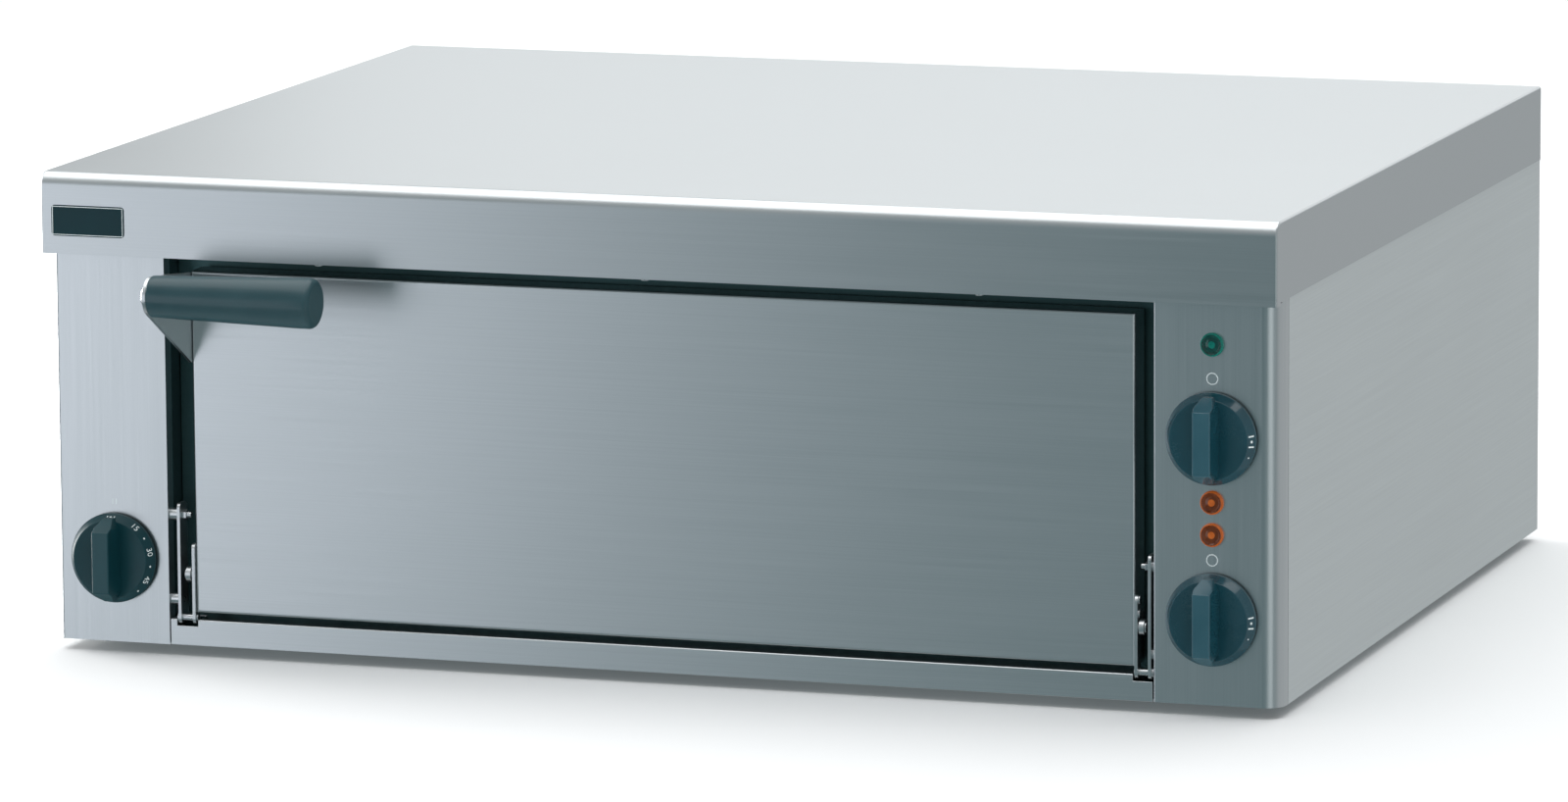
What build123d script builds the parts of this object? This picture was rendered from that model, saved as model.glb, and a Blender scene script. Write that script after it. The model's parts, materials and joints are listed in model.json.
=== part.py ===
from build123d import *
import os

os.makedirs("parts", exist_ok=True)

# A counter-top electric deck oven. X runs to the right seen from the front, Y to the rear, Z up.
# The origin is at the middle of the overall box, on the surface that the feet stand on.

# --- overall sizes -------------------------------------------------------------------------
HOOD_WIDTH = 1010.0
HOOD_DEPTH = 820.0
BODY_HEIGHT = 377.0          # hood top down to the underside of the body
FOOT_HEIGHT = 9.0
FASCIA_HEIGHT = 62.0
FRONT_OVERHANG = 20.0        # the hood stands this far in front of the control panels
SIDE_OVERHANG = 2.0
REAR_STEP = 6.0              # the rear panel stands this far behind the hood

# --- sheet metal ---------------------------------------------------------------------------
SHEET = 1.2
HOOD_NOSE_RADIUS = 11.0
HOOD_EDGE_RADIUS = 2.0
LIP_DROP = 2.5               # the front lip hangs below the side skirts
LIP_WRAP = 10.0              # and wraps this far round each front corner
SEAT = 0.3                   # the hood rests this near to the sheets that carry it
JOINT_GAP = 0.8              # seam between two neighbouring outer sheets
PANEL_CORNER_RADIUS = 16.0   # right panel's outer corner
LEFT_CORNER_RADIUS = 4.0     # left panel's outer corner is folded tighter
PANEL_WRAP = 20.0
PANEL_RETURN = 12.0
TRAY_UPTURN = 12.0

# --- the front -----------------------------------------------------------------------------
LEFT_PANEL_WIDTH = 93.5
RIGHT_PANEL_WIDTH = 101.0
RAIL_HEIGHT = 21.0
DOOR_GAP_LEFT = 22.5
DOOR_GAP_RIGHT = 15.0
DOOR_GAP_TOP = 15.0
DOOR_GAP_BOTTOM = 5.5
DOOR_SETBACK = 1.0
DOOR_THICKNESS = 26.0
DOOR_EDGE_RADIUS = 2.4
SEAL_THICKNESS = 5.7
SEAL_WIDTH = 9.0
SEAL_MARGIN = 12.0
SOFT_GAP = 0.3

# --- hinge and stays -----------------------------------------------------------------------
PIVOT_DROP = 4.5             # pivot below the door's lower edge
PIVOT_SETBACK = 4.0          # pivot behind the panel plane
PIN_RADIUS = 3.0
RUNNING_FIT = 0.05
ARM_THICKNESS = 2.5
ARM_HALF_WIDTH = 5.0
ARM_LENGTH = 60.0
ARM_SCREW_SETBACK = 1.0     # keeps the arm screws behind the door's face sheet
PLATE_THICKNESS = 2.5
PLATE_HEIGHT = 92.0
PLATE_DEPTH = 16.0
PLATE_GAP_LEFT = 12.0        # hinge plate to door edge
PLATE_GAP_RIGHT = 10.8
PLATE_BOLT_RADIUS = 2.5
BOLT_END = 7.0               # the upper bolts stand this far out of the plates, with a nut
SPACER_RADIUS = 5.0
STUD_HEIGHT = 35.0           # stay stud above the pivot
STUD_RADIUS = 3.0
STAY_OFFSET = 5.6            # stay centre line to door edge
ROD_RADIUS = 2.5
EYE_RADIUS = 6.2
EYE_THICKNESS = 4.0
GUIDE_REACH = 130.0          # stay guide behind the pivot
GUIDE_THICKNESS = 2.5
GUIDE_PLAY = 5.0             # the rod swings this far up and down in its guide slot
SPRING_LENGTH = 74.0
SPRING_RADIUS = 7.0
SPRING_BORE = 3.6
WASHER_RADIUS = 6.5
WASHER_THICKNESS = 2.0
HINGE_NOTCH = 1.5            # clearance of the rail round the hinge

# --- handle --------------------------------------------------------------------------------
GRIP_RADIUS = 19.7
GRIP_ROOT_RADIUS = 16.3      # the grip narrows towards its bracket
GRIP_BARREL = 14.0           # even part at the free end
GRIP_LENGTH = 137.0
GRIP_FORWARD = 58.0          # grip axis in front of the hood
GRIP_DROP = 85.5             # grip axis below the hood top
BRACKET_THICKNESS = 2.5
BRACKET_NOSE_RADIUS = 15.5
BRACKET_HEIGHT = 73.0
BRACKET_REAR = 20.0          # the bracket runs back along the door's side
GRIP_BOLT_RADIUS = 4.0

# --- controls ------------------------------------------------------------------------------
LEFT_KNOB_INSET = 48.0       # knob axis from the side of the body
RIGHT_KNOB_INSET = 54.5
LOWER_KNOB_RISE = 67.0       # above the underside of the body
TIMER_RISE = 68.0
UPPER_KNOB_DROP = 108.0      # below the hood
KNOB_RADIUS = 35.8
KNOB_GAP = 2.0
KNOB_SKIRT = 3.0
KNOB_SHOULDER = 10.0
KNOB_DECK_RADIUS = 31.0
KNOB_BAR_WIDTH = 16.0
KNOB_BAR_INSET = 2.5         # bar's ends inside the rim
KNOB_BAR_SLOPE = 9.0
KNOB_EDGE_RADIUS = 1.0
KNOB_HEIGHT = 30.0
SPINDLE_RADIUS = 3.0
SPINDLE_LENGTH = 24.0
BUSH_RADIUS = 5.0
CONTROL_WIDTH = 42.0
CONTROL_HEIGHT = 34.0
CONTROL_DEPTH = 28.0
BELL_RADIUS = 20.0
BELL_DEPTH = 12.0
GREEN_LAMP_DROP = 36.0       # below the hood
AMBER_LAMP_DROP = 49.7       # below the upper knob's axis
AMBER_LAMP_PITCH = 25.0
LAMP_RADIUS = 9.25
LAMP_STEM_RADIUS = 6.0
LAMP_STEM_LENGTH = 26.0
CAPILLARY_RADIUS = 1.0
PHIAL_RADIUS = 3.0
PHIAL_LENGTH = 90.0
PHIAL_WALL_GAP = 6.0

# --- chamber -------------------------------------------------------------------------------
CHANNEL_WIDTH_LEFT = 28.7    # free channel for the stay, partition to insulation
CHANNEL_WIDTH_RIGHT = 21.2
SIDE_INSULATION = 30.0
REAR_INSULATION = 44.0
TOP_INSULATION = 68.0
WIRING_SPACE = 33.0          # between the insulation cover and the rear panel
CHAMBER_FLOOR_RISE = 51.0    # chamber floor above the underside of the body
LOWER_ELEMENT_RISE = 10.0
STONE_RISE = 20.0
STONE_THICKNESS = 14.0
STONE_GAP = 1.0
CHAMBER_HEIGHT = 150.0       # stone to roof
UPPER_ELEMENT_DROP = 9.0
ELEMENT_RADIUS = 4.0
ELEMENT_MARGIN = 50.0
ELEMENT_RUNS = 8
ELEMENT_BEND = 38.0
ELEMENT_HOLE_PLAY = 0.5
LEDGE_WIDTH = 15.0
LEDGE_THICKNESS = 2.0
STRAP_WIDTH = 12.0
STRAP_THICKNESS = 2.0

# --- small parts ---------------------------------------------------------------------------
BADGE_WIDTH = 61.5
BADGE_HEIGHT = 24.5
BADGE_THICKNESS = 0.8
BADGE_INSET = 9.3
BADGE_DROP = 25.6
FOOT_RADIUS = 20.0
FOOT_INSET_X = 70.0
FOOT_INSET_Y = 80.0
FOOT_STUD_RADIUS = 4.0
SCREW_RADIUS = 2.0
SCREW_HEAD_RADIUS = 3.6
SCREW_HEAD_HEIGHT = 2.2
SCREW_LENGTH = 8.0
GLAND_REACH = 22.0
GLAND_RADIUS = 16.0
GLAND_THREAD_RADIUS = 12.5
GLAND_BORE_RADIUS = 7.0
GLAND_RISE = 45.0
GLAND_INSET = 50.0
SLOT_LENGTH = 58.0
SLOT_HEIGHT = 4.0
SLOT_PITCH = 12.0
SLOT_ROWS = 7
TERMINAL_WAYS = 5
TERMINAL_PITCH = 11.0
TERMINAL_HEIGHT = 26.0
TERMINAL_SETBACK = 100.0     # in front of the rear panel, clear of the foot's nut

# --- derived planes ------------------------------------------------------------------------
HANDLE_REACH = GRIP_FORWARD + GRIP_RADIUS
OVERALL_DEPTH = HANDLE_REACH + HOOD_DEPTH + REAR_STEP + GLAND_REACH
FRONT_Y = HANDLE_REACH - OVERALL_DEPTH / 2
PANEL_Y = FRONT_Y + FRONT_OVERHANG
HOOD_BACK_Y = FRONT_Y + HOOD_DEPTH
BACK_Y = HOOD_BACK_Y + REAR_STEP
REAR_INNER_Y = BACK_Y - SHEET
HALF_HOOD = HOOD_WIDTH / 2
HALF_BODY = HALF_HOOD - SIDE_OVERHANG
BASE_Z = FOOT_HEIGHT
TOP_Z = FOOT_HEIGHT + BODY_HEIGHT
HOOD_Z = TOP_Z - FASCIA_HEIGHT
LIP_Z = HOOD_Z - LIP_DROP
UNDER_HOOD_Z = TOP_Z - SHEET - SEAT
TRAY_Z = BASE_Z + SHEET
RAIL_Z = BASE_Z + RAIL_HEIGHT
OPEN_LEFT = -HALF_BODY + LEFT_PANEL_WIDTH
OPEN_RIGHT = HALF_BODY - RIGHT_PANEL_WIDTH
WALL_LEFT = OPEN_LEFT - SHEET     # inner faces of the partitions, which lie against the panels' returns
WALL_RIGHT = OPEN_RIGHT + SHEET
DOOR_LEFT = OPEN_LEFT + DOOR_GAP_LEFT
DOOR_RIGHT = OPEN_RIGHT - DOOR_GAP_RIGHT
DOOR_LOW = RAIL_Z + DOOR_GAP_BOTTOM
DOOR_HIGH = HOOD_Z - DOOR_GAP_TOP
DOOR_FACE = PANEL_Y + DOOR_SETBACK
DOOR_BACK = DOOR_FACE + DOOR_THICKNESS
MOUTH_Y = DOOR_BACK + SOFT_GAP + SEAL_THICKNESS
PIVOT_Y = PANEL_Y + PIVOT_SETBACK
PIVOT_Z = DOOR_LOW - PIVOT_DROP
STUD_Z = PIVOT_Z + STUD_HEIGHT
GUIDE_Y = PIVOT_Y + GUIDE_REACH
CHAMBER_LEFT = WALL_LEFT + CHANNEL_WIDTH_LEFT + SIDE_INSULATION + SHEET
CHAMBER_RIGHT = WALL_RIGHT - CHANNEL_WIDTH_RIGHT - SIDE_INSULATION - SHEET
CHAMBER_FRONT = MOUTH_Y + SHEET
COVER_Y = REAR_INNER_Y - WIRING_SPACE
CHAMBER_BACK = COVER_Y - SHEET - REAR_INSULATION - SHEET
CHAMBER_CENTRE = (CHAMBER_LEFT + CHAMBER_RIGHT) / 2
FLOOR_Z = BASE_Z + CHAMBER_FLOOR_RISE
STONE_LOW = FLOOR_Z + STONE_RISE
STONE_TOP = STONE_LOW + STONE_THICKNESS
ROOF_Z = STONE_TOP + CHAMBER_HEIGHT
LOWER_ELEMENT_Z = FLOOR_Z + LOWER_ELEMENT_RISE
UPPER_ELEMENT_Z = ROOF_Z - UPPER_ELEMENT_DROP
ELEMENT_END_Y = COVER_Y + 8.0
TIMER_X = -HALF_BODY + LEFT_KNOB_INSET
TIMER_Z = BASE_Z + TIMER_RISE
HEAT_X = HALF_BODY - RIGHT_KNOB_INSET
UPPER_KNOB_Z = HOOD_Z - UPPER_KNOB_DROP
LOWER_KNOB_Z = BASE_Z + LOWER_KNOB_RISE
GREEN_LAMP_Z = HOOD_Z - GREEN_LAMP_DROP
AMBER_LAMP_ZS = [UPPER_KNOB_Z - AMBER_LAMP_DROP - i * AMBER_LAMP_PITCH for i in range(2)]
GRIP_Y = FRONT_Y - GRIP_FORWARD
GRIP_Z = TOP_Z - GRIP_DROP
GLAND_X = HALF_BODY - GLAND_INSET
GLAND_Z = BASE_Z + GLAND_RISE
STAY_XS = [DOOR_LEFT - STAY_OFFSET, DOOR_RIGHT + STAY_OFFSET]


def slab(x0, x1, y0, y1, z0, z1):
    """A box between two corners."""
    size = Box(x1 - x0, y1 - y0, z1 - z0)
    return Pos((x0 + x1) / 2, (y0 + y1) / 2, (z0 + z1) / 2) * size


def rod_x(x0, x1, y, z, radius):
    """A round bar along X."""
    return Pos((x0 + x1) / 2, y, z) * Rot(0, 90, 0) * Cylinder(radius, x1 - x0)


def rod_y(x, y0, y1, z, radius):
    """A round bar along Y."""
    return Pos(x, (y0 + y1) / 2, z) * Rot(90, 0, 0) * Cylinder(radius, y1 - y0)


def rod_z(x, y, z0, z1, radius):
    """A round bar along Z."""
    return Pos(x, y, (z0 + z1) / 2) * Cylinder(radius, z1 - z0)


def tube_along(points, bend, radius):
    """A round tube along straight runs joined by arcs."""
    path = FilletPolyline(*points, radius=bend)
    profile = Plane(origin=path @ 0, z_dir=path % 0) * Circle(radius)
    return sweep(profile, path=path)


def write(name, *solids):
    """One STEP file for a sub-part; several solids stay separate in it."""
    shape = solids[0] if len(solids) == 1 else Compound(children=list(solids))
    export_step(shape, f"parts/{name}.step")


def hinge_bolt_places():
    """Two bolts hold each hinge plate to the panel's return and the partition behind it."""
    y = PIVOT_Y - ARM_HALF_WIDTH + PLATE_DEPTH / 2
    return [(y, PIVOT_Z + 14), (y, PIVOT_Z + PLATE_HEIGHT - 10)]


BUSH_HOLE = BUSH_RADIUS + RUNNING_FIT
STEM_HOLE = LAMP_STEM_RADIUS + RUNNING_FIT
BOLT_HOLE = PLATE_BOLT_RADIUS + RUNNING_FIT
LAMP_ZS = [GREEN_LAMP_Z] + AMBER_LAMP_ZS
HINGE_HOLES = [(y, z, BOLT_HOLE) for y, z in hinge_bolt_places()]


# --- casing ----------------------------------------------------------------------------------
def hood_screw_xs():
    """Three screws under the hood's lip, spread over the door opening."""
    span = OPEN_RIGHT - OPEN_LEFT
    return [OPEN_LEFT + span * (2 * i + 1) / 6 for i in range(3)]


def hood_screw_y():
    return FRONT_Y + FRONT_OVERHANG / 2


def top_hood():
    """Folded cover: top, four skirts and a return lip under the front skirt."""
    outer = slab(-HALF_HOOD, HALF_HOOD, FRONT_Y, HOOD_BACK_Y, LIP_Z, TOP_Z)
    top_edges = outer.faces().sort_by(Axis.Z)[-1].edges()
    nose = top_edges.sort_by(Axis.Y)[0]
    outer = fillet(nose, HOOD_NOSE_RADIUS)
    rim = outer.faces().sort_by(Axis.Z)[-1].edges().sort_by(Axis.Y)[1:]
    outer = fillet(rim, HOOD_EDGE_RADIUS)
    inner = slab(-HALF_HOOD + SHEET, HALF_HOOD - SHEET, FRONT_Y + SHEET, HOOD_BACK_Y - SHEET,
                 LIP_Z + SHEET, TOP_Z - SHEET)
    inner = fillet(inner.faces().sort_by(Axis.Z)[-1].edges().sort_by(Axis.Y)[0],
                   HOOD_NOSE_RADIUS - SHEET)
    mouth = slab(-HALF_HOOD + SHEET, HALF_HOOD - SHEET, PANEL_Y - SEAT, HOOD_BACK_Y - SHEET,
                 LIP_Z - 1, TOP_Z / 2 + HOOD_Z / 2)
    step = slab(-HALF_HOOD - 1, HALF_HOOD + 1, FRONT_Y + LIP_WRAP, HOOD_BACK_Y + 1, LIP_Z - 1, HOOD_Z)
    floor = slab(-HALF_HOOD + SHEET, HALF_HOOD - SHEET, FRONT_Y + LIP_WRAP - 1, PANEL_Y - SEAT,
                 LIP_Z, LIP_Z + SHEET)
    hood = outer - inner - mouth - step + floor
    for x in hood_screw_xs():
        hood -= rod_z(x, hood_screw_y(), LIP_Z - 1, LIP_Z + SHEET + 1, SCREW_RADIUS + RUNNING_FIT)
    return hood


def hood_screws():
    """Pan-head screws that hold the hood's lip to the lintel."""
    y = hood_screw_y()
    screws = []
    for x in hood_screw_xs():
        head = rod_z(x, y, LIP_Z - SCREW_HEAD_HEIGHT, LIP_Z, SCREW_HEAD_RADIUS)
        head = fillet(head.faces().sort_by(Axis.Z)[0].edges(), SCREW_HEAD_HEIGHT / 2)
        screws.append(head + rod_z(x, y, LIP_Z, LIP_Z + SCREW_LENGTH, SCREW_RADIUS))
    return screws


def front_panel(x_open, x_side, holes):
    """A control panel: face, rounded outer corner, short side wrap and inner return."""
    side = 1 if x_side > x_open else -1
    low = min(x_open, x_side)
    high = max(x_open, x_side)
    block = slab(low, high, PANEL_Y, PANEL_Y + PANEL_WRAP, BASE_Z, UNDER_HOOD_Z)
    outer_edge = block.edges().filter_by(Axis.Z).group_by(Axis.Y)[0]
    outer_edge = outer_edge.sort_by(Axis.X)[-1 if side > 0 else 0]
    corner = PANEL_CORNER_RADIUS if side > 0 else LEFT_CORNER_RADIUS
    block = fillet(outer_edge, corner)
    core = slab(low + SHEET, high - SHEET, PANEL_Y + SHEET, PANEL_Y + PANEL_WRAP + 1,
                BASE_Z - 1, UNDER_HOOD_Z + 1)
    core_edge = core.edges().filter_by(Axis.Z).group_by(Axis.Y)[0]
    core_edge = core_edge.sort_by(Axis.X)[-1 if side > 0 else 0]
    core = fillet(core_edge, corner - SHEET)
    panel = block - core
    trim_low = x_open - 2 * SHEET
    trim_high = x_open + 2 * SHEET
    panel -= slab(trim_low, trim_high, PANEL_Y + PANEL_RETURN, PANEL_Y + PANEL_WRAP + 1,
                  BASE_Z - 1, UNDER_HOOD_Z + 1)
    for x, z, radius in holes:
        panel -= rod_y(x, PANEL_Y - 1, PANEL_Y + SHEET + 1, z, radius)
    for y, z, radius in HINGE_HOLES:
        panel -= rod_x(trim_low, trim_high, y, z, radius)
    return panel


def bottom_front_rail():
    """Rail under the door: face and top flange, notched round the hinges."""
    x0 = OPEN_LEFT + JOINT_GAP
    x1 = OPEN_RIGHT - JOINT_GAP
    rail = slab(x0, x1, PANEL_Y, PANEL_Y + SHEET, BASE_Z, RAIL_Z)
    rail += slab(x0, x1, PANEL_Y, MOUTH_Y, RAIL_Z - SHEET, RAIL_Z)
    notch_y = PIVOT_Y + PLATE_DEPTH
    notch_z = PIVOT_Z - ARM_HALF_WIDTH - HINGE_NOTCH
    left = slab(DOOR_LEFT - PLATE_GAP_LEFT - PLATE_THICKNESS - HINGE_NOTCH, DOOR_LEFT + HINGE_NOTCH,
                PANEL_Y - 1, notch_y, notch_z, RAIL_Z + 1)
    right = slab(DOOR_RIGHT - HINGE_NOTCH, DOOR_RIGHT + PLATE_GAP_RIGHT + PLATE_THICKNESS + HINGE_NOTCH,
                 PANEL_Y - 1, notch_y, notch_z, RAIL_Z + 1)
    return rail - left - right


def tuck_under_hood(sheet):
    """Take away what would meet the hood's rear skirt."""
    return sheet - slab(-HALF_HOOD, HALF_HOOD, HOOD_BACK_Y - SHEET - JOINT_GAP, BACK_Y + 1,
                        HOOD_Z - JOINT_GAP, TOP_Z)


def rear_screw_places():
    """Three screws up each side of the rear panel."""
    span = HOOD_Z - BASE_Z
    rows = [BASE_Z + span * share for share in (0.12, 0.5, 0.88)]
    inset = HALF_BODY - 7 * SHEET
    return [(x, z) for x in (-inset, inset) for z in rows]


def side_panel(side):
    """A side sheet with a flange behind the rear panel's edge."""
    outer = side * HALF_BODY
    inner = side * (HALF_BODY - SHEET)
    flange = side * (HALF_BODY - 14 * SHEET)
    panel = slab(min(outer, inner), max(outer, inner), PANEL_Y + PANEL_WRAP + JOINT_GAP,
                 REAR_INNER_Y, BASE_Z, UNDER_HOOD_Z)
    panel += slab(min(outer, flange), max(outer, flange), REAR_INNER_Y - SHEET, REAR_INNER_Y,
                  TRAY_Z + TRAY_UPTURN, HOOD_Z - 4 * JOINT_GAP)
    panel = tuck_under_hood(panel)
    for x, z in rear_screw_places():
        panel -= rod_y(x, REAR_INNER_Y - 4, REAR_INNER_Y + 1, z, SCREW_RADIUS + RUNNING_FIT)
    return panel


def rear_panel():
    """Rear sheet with vent slots on both sides and the cable entry low on the right."""
    panel = slab(-HALF_BODY, HALF_BODY, REAR_INNER_Y, BACK_Y, BASE_Z, HOOD_Z - JOINT_GAP)
    ledge = HALF_BODY - SHEET - RUNNING_FIT
    panel += slab(-ledge, ledge, HOOD_BACK_Y + SEAT, BACK_Y, HOOD_Z - JOINT_GAP - SHEET,
                  HOOD_Z - JOINT_GAP)
    slot_top = HOOD_Z - 40
    for side in (-1, 1):
        x = side * (HALF_BODY - 54)
        for row in range(SLOT_ROWS):
            z = slot_top - row * SLOT_PITCH
            panel -= slab(x - SLOT_LENGTH / 2, x + SLOT_LENGTH / 2, REAR_INNER_Y - 1, BACK_Y + 1,
                          z - SLOT_HEIGHT / 2, z + SLOT_HEIGHT / 2)
    for x, z in rear_screw_places():
        panel -= rod_y(x, REAR_INNER_Y - 1, BACK_Y + 1, z, SCREW_RADIUS + RUNNING_FIT)
    panel -= rod_y(GLAND_X, REAR_INNER_Y - 1, BACK_Y + 1, GLAND_Z, GLAND_THREAD_RADIUS + RUNNING_FIT)
    return panel


def rear_screws():
    screws = []
    for x, z in rear_screw_places():
        head = rod_y(x, BACK_Y, BACK_Y + SCREW_HEAD_HEIGHT, z, SCREW_HEAD_RADIUS)
        head = fillet(head.faces().sort_by(Axis.Y)[-1].edges(), SCREW_HEAD_HEIGHT / 2)
        screws.append(head + rod_y(x, BACK_Y - SCREW_LENGTH, BACK_Y, z, SCREW_RADIUS))
    return screws


def foot_places():
    xs = (-HALF_BODY + FOOT_INSET_X, HALF_BODY - FOOT_INSET_X)
    ys = (PANEL_Y + FOOT_INSET_Y, BACK_Y - FOOT_INSET_Y)
    return [(x, y) for x in xs for y in ys]


def base_tray():
    """Bottom sheet with an upturned edge inside the front, sides and rear."""
    x = HALF_BODY - SHEET - RUNNING_FIT
    y0 = PANEL_Y + SHEET + RUNNING_FIT
    y1 = REAR_INNER_Y - RUNNING_FIT
    tray = slab(-x, x, y0, y1, BASE_Z, TRAY_Z + TRAY_UPTURN)
    tray -= slab(-x + SHEET, x - SHEET, y0 + SHEET, y1 - SHEET, TRAY_Z, TRAY_Z + TRAY_UPTURN + 1)
    corner = PANEL_CORNER_RADIUS
    for side in (-1, 1):
        outer = side * (x + 1)
        inner = side * (x - corner)
        tray -= slab(min(outer, inner), max(outer, inner), y0 - 1, PANEL_Y + PANEL_WRAP + SHEET,
                     BASE_Z - 1, TRAY_Z + TRAY_UPTURN + 1)
    for x_open in (OPEN_LEFT, OPEN_RIGHT):
        tray -= slab(x_open - 2 * SHEET, x_open + 2 * SHEET, y0 - 1, PANEL_Y + PANEL_RETURN + SEAT,
                     BASE_Z - 1, TRAY_Z + TRAY_UPTURN + 1)
    for foot_x, foot_y in foot_places():
        tray -= rod_z(foot_x, foot_y, BASE_Z - 1, TRAY_Z + 1, FOOT_STUD_RADIUS + RUNNING_FIT)
    return tray


def feet():
    """Four low rubber feet, each with its threaded stud and nut above the tray."""
    solids = []
    for x, y in foot_places():
        pad = rod_z(x, y, 0, BASE_Z, FOOT_RADIUS)
        pad = chamfer(pad.faces().sort_by(Axis.Z)[0].edges(), FOOT_HEIGHT / 4)
        stud = rod_z(x, y, BASE_Z, TRAY_Z + 10, FOOT_STUD_RADIUS)
        nut = Pos(x, y, TRAY_Z) * extrude(RegularPolygon(7, 6), 5)
        solids.append(pad + stud + nut)
    return solids


def partition(x_face, side, holes):
    """An inner wall behind a panel's return; it carries a hinge and a stay guide."""
    x0 = min(x_face, x_face + side * SHEET)
    x1 = max(x_face, x_face + side * SHEET)
    wall = slab(x0, x1, PANEL_Y + 2 * SHEET + SEAT, REAR_INNER_Y - TRAY_UPTURN, TRAY_Z, UNDER_HOOD_Z)
    wall = tuck_under_hood(wall)
    for y, z, radius in holes:
        wall -= rod_x(x0 - 1, x1 + 1, y, z, radius)
    return wall


def mouth_frame():
    """The plate round the chamber's mouth, with side flanges and a slot for each stay."""
    x0 = WALL_LEFT + SEAT
    x1 = WALL_RIGHT - SEAT
    frame = slab(x0, x1, MOUTH_Y, CHAMBER_FRONT, TRAY_Z, UNDER_HOOD_Z)
    for edge, inward in ((x0, SHEET), (x1, -SHEET)):
        frame += slab(min(edge, edge + inward), max(edge, edge + inward), MOUTH_Y,
                      CHAMBER_FRONT + PANEL_RETURN, STONE_TOP, HOOD_Z)
    frame -= slab(CHAMBER_LEFT, CHAMBER_RIGHT, MOUTH_Y - 1, CHAMBER_FRONT + 1, STONE_TOP - STONE_GAP, ROOF_Z)
    for x in STAY_XS:
        slot = slab(x - ROD_RADIUS - 1.5, x + ROD_RADIUS + 1.5, MOUTH_Y - 1, CHAMBER_FRONT + 1,
                    PIVOT_Z + ARM_HALF_WIDTH, STUD_Z + EYE_RADIUS)
        frame -= slot
    return frame


def lintel():
    """Angle under the hood over the door; the hood's lip is screwed to it."""
    x0 = OPEN_LEFT + JOINT_GAP
    x1 = OPEN_RIGHT - JOINT_GAP
    leg_z = LIP_Z + SHEET
    angle = slab(x0, x1, FRONT_Y + 2 * SHEET, MOUTH_Y, leg_z, leg_z + SHEET)
    angle += slab(x0, x1, MOUTH_Y - SHEET, MOUTH_Y, DOOR_HIGH, leg_z + SHEET)
    for x in hood_screw_xs():
        angle -= rod_z(x, hood_screw_y(), leg_z - 1, leg_z + SHEET + 1, SCREW_RADIUS + RUNNING_FIT)
    return angle


def badge_plate():
    """Blank plate on the hood's front, near its left end."""
    x0 = -HALF_HOOD + BADGE_INSET
    z1 = TOP_Z - BADGE_DROP
    plate = slab(x0, x0 + BADGE_WIDTH, FRONT_Y - BADGE_THICKNESS, FRONT_Y, z1 - BADGE_HEIGHT, z1)
    return fillet(plate.edges().filter_by(Axis.Y), 3)


# --- chamber ---------------------------------------------------------------------------------
def element_xs():
    """X of each straight run of an element."""
    first = CHAMBER_LEFT + ELEMENT_MARGIN
    step = (CHAMBER_RIGHT - CHAMBER_LEFT - 2 * ELEMENT_MARGIN) / (ELEMENT_RUNS - 1)
    return [first + i * step for i in range(ELEMENT_RUNS)]


def element_ends(radius):
    """The places where an element's two ends cross the rear walls."""
    xs = element_xs()
    return [(x, z, radius) for x in (xs[0], xs[-1]) for z in (LOWER_ELEMENT_Z, UPPER_ELEMENT_Z)]


def element(z):
    """A sheathed heating tube, bent to and fro over the chamber."""
    xs = element_xs()
    near = CHAMBER_FRONT + ELEMENT_MARGIN
    far = CHAMBER_BACK - ELEMENT_MARGIN
    points = [(xs[0], ELEMENT_END_Y, z)]
    y = near
    for i in range(ELEMENT_RUNS - 1):
        points.append((xs[i], y, z))
        points.append((xs[i + 1], y, z))
        y = far if y == near else near
    points.append((xs[-1], ELEMENT_END_Y, z))
    return tube_along(points, ELEMENT_BEND, ELEMENT_RADIUS)


def element_terminals():
    """Ceramic collar and threaded stud on each end of both elements."""
    solids = []
    for x, z, radius in element_ends(ELEMENT_RADIUS):
        collar = rod_y(x, ELEMENT_END_Y, ELEMENT_END_Y + 7, z, radius + 2)
        solids.append(collar + rod_y(x, ELEMENT_END_Y + 7, ELEMENT_END_Y + 18, z, radius / 2))
    return solids


def strap_ys():
    span = CHAMBER_BACK - CHAMBER_FRONT
    return [CHAMBER_FRONT + span * share for share in (0.25, 0.72)]


def element_supports():
    """Straps that hang the upper element and carry the lower one."""
    solids = []
    for y in strap_ys():
        y0 = y - STRAP_WIDTH / 2
        y1 = y + STRAP_WIDTH / 2
        z1 = UPPER_ELEMENT_Z - ELEMENT_RADIUS - SEAT
        x0 = CHAMBER_LEFT + STRAP_WIDTH
        x1 = CHAMBER_RIGHT - STRAP_WIDTH
        hanger = slab(x0, x1, y0, y1, z1 - STRAP_THICKNESS, ROOF_Z)
        hanger -= slab(x0 + STRAP_THICKNESS, x1 - STRAP_THICKNESS, y0 - 1, y1 + 1, z1, ROOF_Z + 1)
        solids.append(hanger)
        low = LOWER_ELEMENT_Z - ELEMENT_RADIUS - SEAT
        bar = LEDGE_WIDTH / 2 + SEAT
        solids.append(slab(CHAMBER_LEFT + LEDGE_WIDTH + SEAT, CHAMBER_CENTRE - bar, y0, y1, FLOOR_Z, low))
        solids.append(slab(CHAMBER_CENTRE + bar, CHAMBER_RIGHT - LEDGE_WIDTH - SEAT, y0, y1, FLOOR_Z, low))
    return solids


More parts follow.
